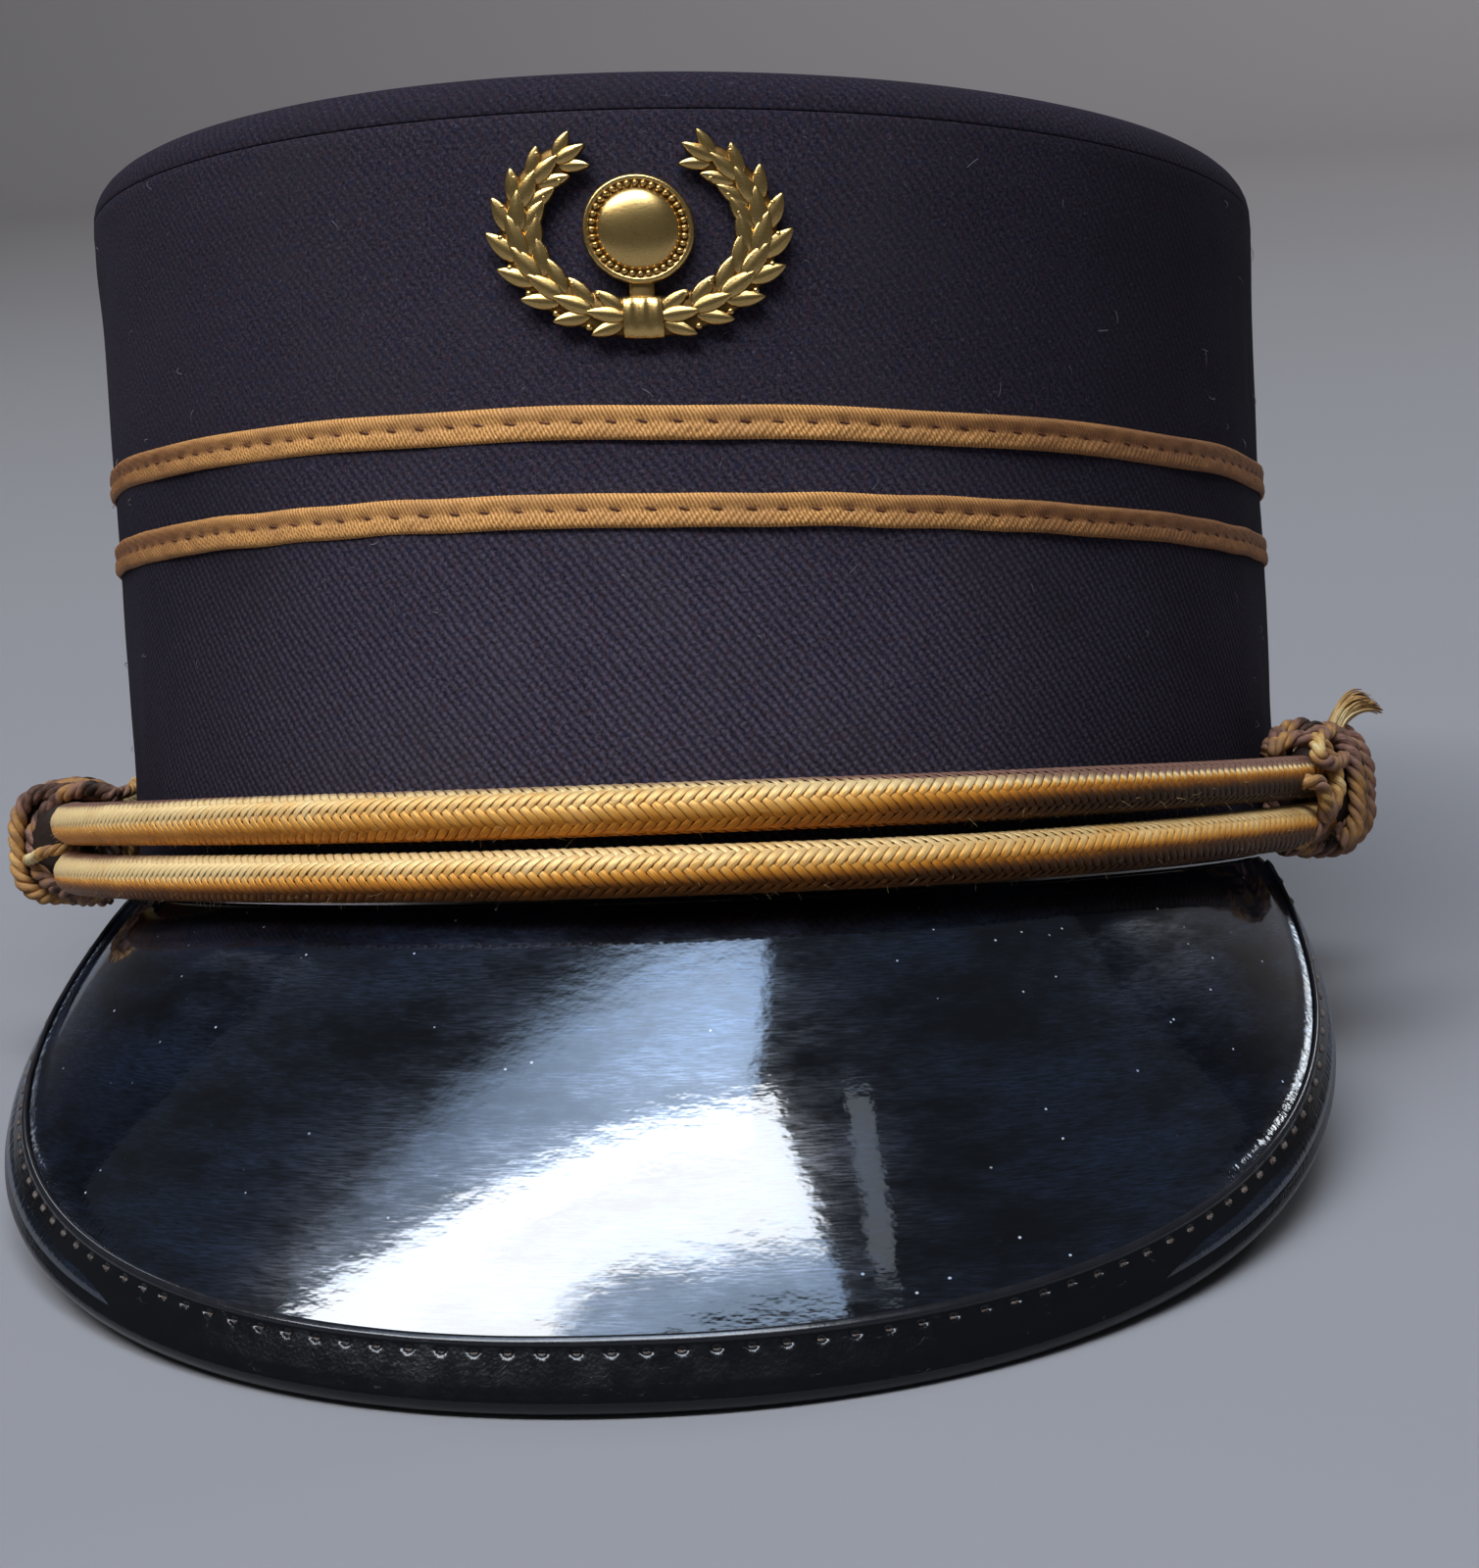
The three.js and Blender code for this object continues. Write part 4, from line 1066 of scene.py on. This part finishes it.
def binding_section(angles, run):
    """Section of the binding at each angle, as (along, depth): a rolled bead at its inner edge, a sewn hollow
    beside it, a flat band, a rounded outer edge, the same plainly underneath, and the slot for the leather."""
    end = peak_length(angles)[:, None]
    width = binding_width(angles)[:, None]
    start, fit = end - width, binding_fit(width)
    bead_along = np.array([0.0, 0.03, 0.10, 0.20, 0.42, 0.66, 0.88, 1.04, 1.15, 1.22])
    bead_depth = np.array([-0.65, -0.95, -1.10, -1.17, -1.205, -1.235, -1.25, -1.22, -1.12, -1.02])
    flat_along = np.array([1.32, 1.5, 1.66, 1.8, 1.92, 2.04, 2.16, 2.3, 2.5, 2.9, 3.6, 4.5, 5.4, 6.2, 6.9])
    flat_depth = np.interp(flat_along, [1.3, 1.7, 3.0, 5.0, 6.2, 7], [-0.97, -0.91, -0.76, -0.54, -0.38, -0.12])
    pits = bell((run + BINDING_STITCH / 2) % BINDING_STITCH, BINDING_STITCH / 2, 0.46)[:, None]
    rounding = np.linspace(-0.42, 0.42, EDGE_POINTS) * math.pi
    parts = [
        (start + bead_along * fit, bead_depth * (0.6 + 0.4 * fit)),
        (start + flat_along * fit, flat_depth + 0.52 * pits * bell(flat_along, 1.98, 0.26)),
        (end + (-1.05 + 1.05 * np.cos(rounding)) * fit, 1.42 + 1.58 * np.sin(rounding)),
        (start + np.array([6.6, 4.0, 1.2, 0.3, 0.0]) * fit, [3.05, 3.15, 3.15, 3.05, 2.7]),
        (start + 0.15, 2.36),
        (end - 1.8 * fit, [2.3, 1.0, -0.16]),
        (start + 0.25, -0.33)]
    return [np.concatenate(part, 1) for part in zip(*(alike(*part) for part in parts))]


def peak_binding():
    """The binding's section carried along the peak's edge, worn on its bead and its outer edge, whose lighter
    grey is also a painted highlight.
    """
    draw = np.random.default_rng(32)
    angles, run = even_edge(1250)
    along, depth = binding_section(angles, run)
    upper = BEAD_POINTS + BAND_POINTS
    shown, worn = np.zeros((2, along.shape[1]))
    shown[:upper + EDGE_POINTS] = 1
    # Wear and painted highlight: the bead and the outer edge are greyer
    worn[1:BEAD_POINTS - 1] = 0.8
    worn[upper + 2:upper + EDGE_POINTS - 2] = 0.6
    uneven = 0.022 * ripple(draw, run[:, None], along * 0.6, 10, 5, 30) * shown
    points = peak_point(angles[:, None], along, depth - uneven)
    over = distance(points)
    places = spread(run[:, None], np.concatenate([over, over[:, -1:] + 1], 1))
    return skin(points[None], places[None], ends(points[None]), worn)


def binding_stitches():
    """Thread in each pit of the binding: a short arch across the pit's outer half, sunk at both ends."""
    fine, run = edge_run()
    draw = np.random.default_rng(33)
    pits = np.arange(BINDING_STITCH, run[-1] - BINDING_STITCH, BINDING_STITCH)
    steps = np.linspace(-1, 1, 6)
    s = pits[:, None] + draw.normal(0, 0.06, (len(pits), 1)) + 0.48 * steps
    angle = np.interp(s, run, fine)
    width = binding_width(angle)
    along = peak_length(angle) - width + (2.10 - 0.12 * steps ** 2) * binding_fit(width)
    swell = smooth(np.abs(angle), 0.35, 0.8)
    depth = -0.56 - 0.22 * swell + 0.12 * steps ** 2 + draw.normal(0, 0.04, (len(pits), 1))
    centres = peak_point(angle, along, depth)
    side = unit(peak_point(angle, along + 0.5, depth) - centres)
    up = unit(np.cross(unit(np.gradient(centres, axis=1)), side))
    up = up * np.sign(np.einsum("abc,abc->ab", up, crown_normal(angle)))[..., None]
    return tubes(centres, side, up, round_outline(1.0, 6) * (0.20 + 0.22 * swell)[..., None, None])


# ---- Badge


def on_crown(flat):
    """Lays flat points on the crown's front: x goes round it, y up it and z away from it."""
    angle = BADGE_ANGLE + flat[..., 0] / RIM_HALF_WIDTH
    relief = flat[..., 0] ** 2 / (RIM_HALF_WIDTH ** 2 / RIM_HALF_DEPTH) * 0.02
    return crown_point(angle, BADGE_HEIGHT + flat[..., 1], GAP + flat[..., 2] + relief)


def laid(flat, tones, poles=None):
    """A skin of flat grids laid on the crown, closed by poles or else at the middles of its end rows."""
    places = spread(np.arange(flat.shape[1])[:, None] * 0.3, np.arange(flat.shape[2] + 1) * 0.3)
    poles = tuple(on_crown(np.asarray(pole)) for pole in poles or ends(flat))
    return skin(on_crown(flat), np.broadcast_to(places, flat.shape[:1] + places.shape), poles, tones)


def wreath_line(t):
    """Middle of the wreath's band at t from the foot (0) to the tip (1): an oval's arc, on the right side."""
    turn = mix(math.radians(6), math.radians(154), t)
    return spread(np.sin(turn) * WREATH_HALF_WIDTH, -np.cos(turn) * WREATH_HALF_HEIGHT)


def left_of(ways):
    """Flat directions turned a quarter to the left."""
    return np.stack([-ways[:, 1], ways[:, 0]], -1)


def wreath_axes(t):
    """The wreath's middle at t, with the directions ahead and to the left there."""
    ahead = unit(wreath_line(t + 0.02) - wreath_line(t - 0.02))
    return wreath_line(t), ahead, left_of(ahead)


def wreath_leaves(side):
    """Laurel leaves in threes along one side: each a pointed oval, half width w (1 - u^2)^0.75 skewed to its
    foot, domed across, with a raised midrib, laid over the one before it."""
    stations = 9
    t = np.repeat((np.arange(stations) + 0.35) / stations, 3)
    kind = np.tile([-1, 1, 0], stations)
    foot, ahead, left = wreath_axes(t)
    heading = rolled(ahead, left, np.radians(30) * kind)[0]
    beside = left_of(heading)
    size = np.interp(t, [0, 0.5, 1], [0.86, 1.08, 0.72])
    long = (2.75 - 0.3 * np.abs(kind)) * size
    wide = (1.05 + 0.05 * (kind == 0)) * size
    centre = foot + left * (kind * 1.15 * size)[:, None] + heading * (0.55 * long)[:, None]
    u = np.sin(math.pi / 2 * np.linspace(-0.985, 0.985, 15))[:, None]
    turn = around(16)
    v, over = np.cos(turn), np.sin(turn)
    half = (1 - u ** 2) ** 0.75 * (1 - 0.22 * u)
    dome = np.clip(over, 0, 1) ** 0.8 * half ** 0.5
    rib = bell(v, 0, 0.16) * (over > 0) * 0.16 * (1 - u ** 2)
    crease = -0.10 * bell(np.abs(v), 0.34, 0.15) * (over > 0)
    level = 0.95 + 0.28 * (kind == 0)[:, None, None] + 0.30 * (u + 1) / 2
    z = level + (0.55 * dome + (rib + crease) * half) * size[:, None, None]
    z = np.where(over < -0.05, 0.35, z)
    centre, heading, beside = (way[:, None, None] for way in (centre, heading, beside))
    long, wide = (length[:, None, None, None] for length in (long, wide))
    xy = centre + heading * (u[..., None] * long) + beside * ((half * v)[..., None] * wide)
    flat = np.concatenate([xy, z[..., None]], -1)
    flat[..., 0] *= side
    return laid(flat, 0.25 + 0.75 * dome * (1 - 0.5 * (np.abs(crease) > 0.05)))


def wreath_stem(side):
    """The twig under the leaves: a low oval rod from the foot of the wreath to near its tip."""
    t = np.linspace(0.0, 0.97, 60)
    line = wreath_line(t)
    ahead = unit(np.gradient(line, axis=0))
    turn = around(12)
    thick = np.interp(t, [0, 0.9, 1], [2.35, 2.0, 0.9])
    xy = line[:, None] + left_of(ahead)[:, None] * (np.cos(turn)[:, None] * thick[:, None, None])
    flat = spread(xy[..., 0] * side, xy[..., 1], 0.62 + 0.6 * np.sin(turn))[None]
    return laid(flat, 0.15)


def beads(centres, radius):
    """Small balls at flat points, as rings of latitude closed by two poles."""
    lat, lon = np.radians([-67, -40, -13, 13, 40, 67])[:, None], around(10)
    ball = radius * spread(np.cos(lat) * np.cos(lon), np.cos(lat) * np.sin(lon), np.sin(lat))
    return laid(centres[:, None, None] + ball, 1.0, (centres - radius * UP, centres + radius * UP))


def wreath_berries(side):
    """Berries between the leaves, in pairs beside the stem."""
    t = np.repeat((np.arange(8) + 1.12) / 9.3, 2)
    foot, _, left = wreath_axes(t)
    xy = foot + left * (np.tile([-1, 1], 8) * 2.05)[:, None]
    return beads(spread(xy[:, 0] * side, xy[:, 1], 1.25), 0.42)


def roundel():
    """Plain domed roundel: a flat foot, a rolled rim, a beaded groove and a smooth dome, as a profile (radius,
    height, tone) from its underside up, turned about the badge's own axis."""
    rows = np.array([
        (0.3, 0.02, 0.3), (6.2, 0.02, 0.3), (6.5, 0.25, 0.5), (6.55, 1.0, 0.7), (6.4, 1.45, 1.0), (6.1, 1.62, 1.0),
        (5.85, 1.55, 0.5), (5.7, 1.35, 0.1), (5.0, 1.35, 0.1), (4.85, 1.5, 0.4), (4.7, 1.75, 0.9), (4.5, 1.95, 1.0),
        (4.2, 2.12, 1.0), (3.8, 2.32, 1.0), (3.3, 2.52, 1.0), (2.7, 2.70, 1.0), (2.0, 2.86, 1.0), (1.2, 2.97, 1.0),
        (0.4, 3.02, 1.0)])
    turn, ring = around(96), around(36)
    radius, height, tones = rows.T[..., None]
    flat = spread(radius * np.cos(turn), radius * np.sin(turn), height)[None]
    groove = 5.35
    return [
        laid(flat, tones, ([(0, 0, rows[0, 1])], [(0, 0, rows[-1, 1])])),
        beads(spread(groove * np.cos(ring), groove * np.sin(ring), 1.5), 0.40)]


def wreath_tie():
    """The ribbon at the wreath's foot, a band of three rolls across the stems, and the strut up to the roundel."""
    x = np.linspace(-2.3, 2.3, 25)[:, None]
    turn = around(20)
    c, s = np.cos(turn), np.sin(turn)
    half = 2.6 - 0.12 * (x / 2.3) ** 2
    high = 0.95 + 0.14 * np.cos(TURN * x / 1.55)
    band = spread(x, -10.4 + half * c, np.maximum(0.85 + high * s, 0.2))
    strut = spread(1.5 * c, np.linspace(-8.5, -5.5, 10)[:, None], np.maximum(0.5 + 0.55 * s, 0.05))
    return [laid(band[None], 0.9), laid(strut[None], 0.3)]


def badge():
    """The whole badge as one piece."""
    parts = roundel() + wreath_tie()
    for side in (-1, 1):
        parts += [wreath_leaves(side), wreath_stem(side), wreath_berries(side)]
    return joined(parts)


# ---- Side buttons


def side_button(side):
    """A plain domed button on a shank: its profile (radius, distance from the wall) turned about the normal."""
    foot = beside_button(side, GAP)
    under = EYE_OUTWARD + CORD_RADIUS + 0.8
    rows = np.array([
        (0.2, 0, 0.3), (1.7, 0, 0.3), (1.8, 0.2, 0.4), (1.8, under - 0.2, 0.4), (2.1, under, 0.4),
        (6.1, under, 0.5), (6.4, under + 0.2, 0.9), (6.5, under + 0.55, 1), (6.35, under + 0.95, 1),
        (5.95, under + 1.2, 1), (5.6, under + 1.15, 0.3), (5.35, under + 1.2, 0.5), (4.8, under + 1.5, 1),
        (3.8, under + 1.75, 1), (2.6, under + 1.9, 1), (1.3, under + 1.98, 1), (0.3, under + 2.0, 1)])
    turn = around(64)
    away = np.array([side, 0.0, 0.0])
    ring = spread(0, np.cos(turn), np.sin(turn))
    points = foot + away * rows[:, 1, None, None] + ring * rows[:, 0, None, None]
    places = spread(np.arange(len(rows))[:, None] * 0.5, np.arange(65) * 0.4)
    return skin(points[None], places[None], ([foot], [foot + away * (under + 2.0)]), rows[:, 2:])


# ---- Lint


def lint():
    """Loose fibres caught on the cloth: thin bent hairs that stand a little off it."""
    draw = np.random.default_rng(71)
    count = 150
    angle = draw.uniform(-math.pi, math.pi, count)
    height = draw.uniform(18, 92, count)
    t = np.linspace(0, 1, 6)
    heading = draw.uniform(0, TURN, count)
    bend = draw.uniform(-1.6, 1.6, count)
    long = draw.uniform(0.8, 2.6, count)
    way = heading[:, None] + bend[:, None] * t
    s = np.cumsum(np.cos(way), 1) / 6 * long[:, None]
    up = np.cumsum(np.sin(way), 1) / 6 * long[:, None]
    off = 0.25 + 0.45 * np.sin(math.pi * t) * draw.uniform(0.3, 1, (count, 1))
    here = angle[:, None] + s / MEAN_RADIUS
    centres = crown_point(here, height[:, None] + up, off)
    return tubes(centres, UP, crown_normal(here), round_outline(0.045, 3))


def cord_fuzz():
    """Fine broken fibres that stand off the chin cord: bent hairs out of its surface, mostly on its upper side."""
    draw = np.random.default_rng(72)
    count, steps = 620, 5
    line, along, outward, across, _ = cord_line(2400)
    at = draw.integers(0, len(line), count)
    line, along, outward, across = (ways[at] for ways in (line, along, outward, across))
    turn = draw.normal(math.radians(58), math.radians(34), count) * -np.sign(across[:, 2])
    radial = rolled(outward, across, turn)[0]
    lean = along * draw.normal(0, 0.9, (count, 1))
    t = np.linspace(0, 1, steps)[:, None]
    long = draw.gamma(3, 0.17, (count, 1, 1))
    curl = draw.normal(0, 0.7, (count, 1, 3))
    centres = line[:, None] + radial[:, None] * 2.95 + long * ((radial + lean)[:, None] * t + curl * t ** 2 * 0.5)
    side = unit(np.cross(radial, along))[:, None]
    return tubes(centres, side, along[:, None], round_outline(1.0, 3) * mix(0.04, 0.02, t)[..., None])


# ---- The pieces

cloth = wool("dark wool twill")
braid = stripe_thread("tan flat braid")
floss = gold_thread("gold floss")
dull_floss = knot_thread("tarnished gold cord")
rust_thread = plain_thread("red brown sewing thread", (0.20, 0.060, 0.020), (0.10, 0.030, 0.013))
dark_thread = plain_thread("waxed brown sewing thread", (0.15, 0.112, 0.092), (0.055, 0.040, 0.032), 0.3)
hair = plain_thread("pale lint", (0.30, 0.27, 0.25), (0.17, 0.15, 0.17), 0.9)
gold_hair = plain_thread("gold fibre", (0.72, 0.50, 0.24), (0.50, 0.33, 0.14), 0.8)
leather = patent("black patent leather")
edging = binding_leather("black binding leather")
gold = gilt("gilt brass")

piece("crown_side_cloth", crown_side_cloth(), cloth, ["crown_side"])
piece("crown_top_cloth", crown_top_cloth(), cloth, ["crown_top"])
for which, middle in STRIPE_HEIGHTS.items():
    piece(f"stripe_{which}_braid", stripe_braid(middle), braid, [f"stripe_{which}"])
    piece(f"stripe_{which}_stitches", stripe_stitches(middle), rust_thread)
piece("chin_cord_lay_right", joined([cord_strands(1), cord_core()]), floss, ["chin_cord"])
piece("chin_cord_lay_left", cord_strands(-1), floss, ["chin_cord"])
for which, form in KNOTS.items():
    parts = [knot_wraps(form), knot_filling(form)]
    for number, (radius, tone, points) in enumerate(KNOT_STRANDS[which]):
        parts.append(knot_strand(points, radius, tone, form["seed"] + 3 * number))
    piece(f"knot_{which}_wraps", joined(parts), dull_floss, [f"knot_{which}"])
piece("knot_tail_strands", knot_tail(), dull_floss, ["knot_tail"])
piece("peak_sheet", peak_sheet(), leather, ["peak"])
piece("peak_binding_strip", peak_binding(), edging, ["peak_binding"])
piece("peak_binding_stitches", binding_stitches(), dark_thread)
piece("badge_wreath", badge(), gold, ["badge"])
for which, side in {"left": -1, "right": 1}.items():
    piece(f"side_button_{which}_domed", side_button(side), gold, [f"side_button_{which}"])
piece("crown_lint", lint(), hair)
piece("chin_cord_fuzz", cord_fuzz(), gold_hair)


# ---- Floor, light and camera


def floor():
    """A pale floor that curves up into a backdrop far behind: flat, then a quarter round of 1.2 m, then up."""
    turn = np.linspace(0, math.pi / 2, 24)
    x, y = np.linspace(-9, 9, 7), np.concatenate([[-8.0, -1.0, 0.0, 1.5], 3.0 + 1.2 * np.sin(turn), [4.2]])
    z = np.concatenate([[0, 0, 0, 0], 1.2 - 1.2 * np.cos(turn), [7.0]])
    number = np.arange(len(y) * len(x)).reshape(len(y), len(x))
    faces = np.stack([number[:-1, :-1], number[:-1, 1:], number[1:, 1:], number[1:, :-1]], -1).reshape(-1, 4)
    mesh = bpy.data.meshes.new("floor")
    mesh.from_pydata(spread(x, y[:, None], z[:, None]).reshape(-1, 3), [], faces.tolist(), False)
    mesh.materials.append(floor_finish("pale floor"))
    made = placed("floor", mesh)


def lamp(name, plane, middle, size, radiance, colour, shape):
    """A rectangular soft light in a plane, given as a point, the direction of its width and the one that it
    faces. Its watts are pi times its area times its radiance. A shape gives the part of its strength at each x
    and y from the plane's point."""
    at, right, back = np.array(plane[0]), unit(np.array(plane[1], float)), -unit(np.array(plane[2], float))
    back = unit(back - right * back.dot(right))
    up = np.cross(back, right)
    data = bpy.data.lights.new(name, "AREA")
    data.shape = "RECTANGLE"
    data.size, data.size_y, data.color = *size, colour
    data.energy = math.pi * size[0] * size[1] * radiance
    if shape:
        data.use_nodes = True
        f = Finish(name, data.node_tree)
        parts = f.parts(f.node("NewGeometry", None, None, "Parametric"))
        x, y = ((part - 0.5) * length + start for part, length, start in zip(parts, size, middle))
        f.node("OutputLight", None, {0: f.node("Emission", None, {"Strength": shape(x, y)})})
    placed(name, data, (right, up, back, at + right * middle[0] + up * middle[1]))


def window(x, y):
    """The bright opening: below a shallow curve, above a sill in its right part, and cut off at its lower left."""
    left, right = (x + 0.3).least(0.0), (x + 0.3).most(0.0)
    top = left * left * 0.21 + right * right * 0.08 + 0.20
    foot = x.span(0.4, 0.02, -0.285, -0.232)
    bright = (top - y).span(0.0, 0.02) * (y - foot).span(0.0, 0.02).most((x * -1 - 0.1).span(0.0, 0.14))
    return bright * (y + x * 0.62 + 0.66).span(0.0, 0.06)


def haze(x, y):
    """A wall that brightens to the right as far as a soft edge, and fades out above a slanting line."""
    return x.span(-1.5, 0.7, 0.0, 1.0) * (x * 0.12 + 0.14 - y).span(-0.02, 0.16) * x.span(1.1, 0.94)


def camera():
    """The photograph's camera, fitted in the hat's frame and leaned back with it. The lens takes the photograph's
    height for its sensor's."""
    right, up = (unit(seated(way) - seated(np.zeros(3))) for way in (CAMERA_RIGHT, CAMERA_UP))
    up = unit(up - right * right.dot(up))
    data = bpy.data.cameras.new("camera")
    data.sensor_width = SENSOR
    data.lens = FOCAL_LENGTH / PHOTO_HEIGHT * SENSOR
    data.clip_start, data.clip_end = 0.01, 50
    bpy.context.scene.camera = placed("camera", data, (right, up, np.cross(right, up), seated(CAMERA_STAND)))


floor()
camera()
# Planes of the lights: a point, the direction of the width, the direction faced
daylight = (-0.249, -0.812, 1.784), (0.870, -0.113, 0.480), (0.290, 0.904, -0.313)
wall = (-0.30, -0.40, 1.79), (0.771, -0.113, 0.627), (0.623, -0.072, -0.779)
right_side = (1.24, 0.83, 1.33), (-0.08, -0.44, 0.41), (-1.24, -0.93, -1.28)
left_side = (-1.32, 0.90, 1.18), (0.15, -0.5, 0.6), (1.32, -1.0, -1.13)
slit = (0.871, -0.666, 1.749), (0.802, 0.423, -0.423), (-0.364, -0.216, -0.906)
behind = (1.9, 1.6, 3.0), (1, 0, 0), (0, 1, -0.46)
for name, plane, middle, size, radiance, colour, shape in (
        ("window", daylight, (-0.10, 0.08), (2.51, 0.76), 15.2, (0.95, 0.97, 1.0), window),
        ("sill", daylight, (0.46, -0.335), (1.44, 0.18), 5.2, (0.55, 0.73, 1.0), None),
        ("pale_wall", wall, (0.0, -0.09), (2.2, 0.62), 8.6, (0.54, 0.72, 1.0), haze),
        ("right_gleam", right_side, (-0.41, 0.03), (0.36, 0.22), 14, (0.9, 0.95, 1.0), None),
        ("left_gleam", left_side, (0, 0), (0.7, 0.2), 5, (0.85, 0.92, 1.0), None),
        ("sliver", slit, (0, 0), (0.117, 0.474), 1.4, (0.8, 0.88, 1.0), None),
        ("backdrop", behind, (0, 0), (3.4, 0.8), 10.5, (1.0, 0.96, 0.96), None)):
    lamp(name, plane, middle, size, radiance, colour, shape)
world = bpy.data.worlds.new("studio")
world.use_nodes = True
sky = world.node_tree.nodes["Background"].inputs
sky["Color"].default_value, sky["Strength"].default_value = (0.86, 0.92, 1.0, 1), 0.09
bpy.context.scene.world = world
bpy.context.scene.view_settings.view_transform = "Standard"
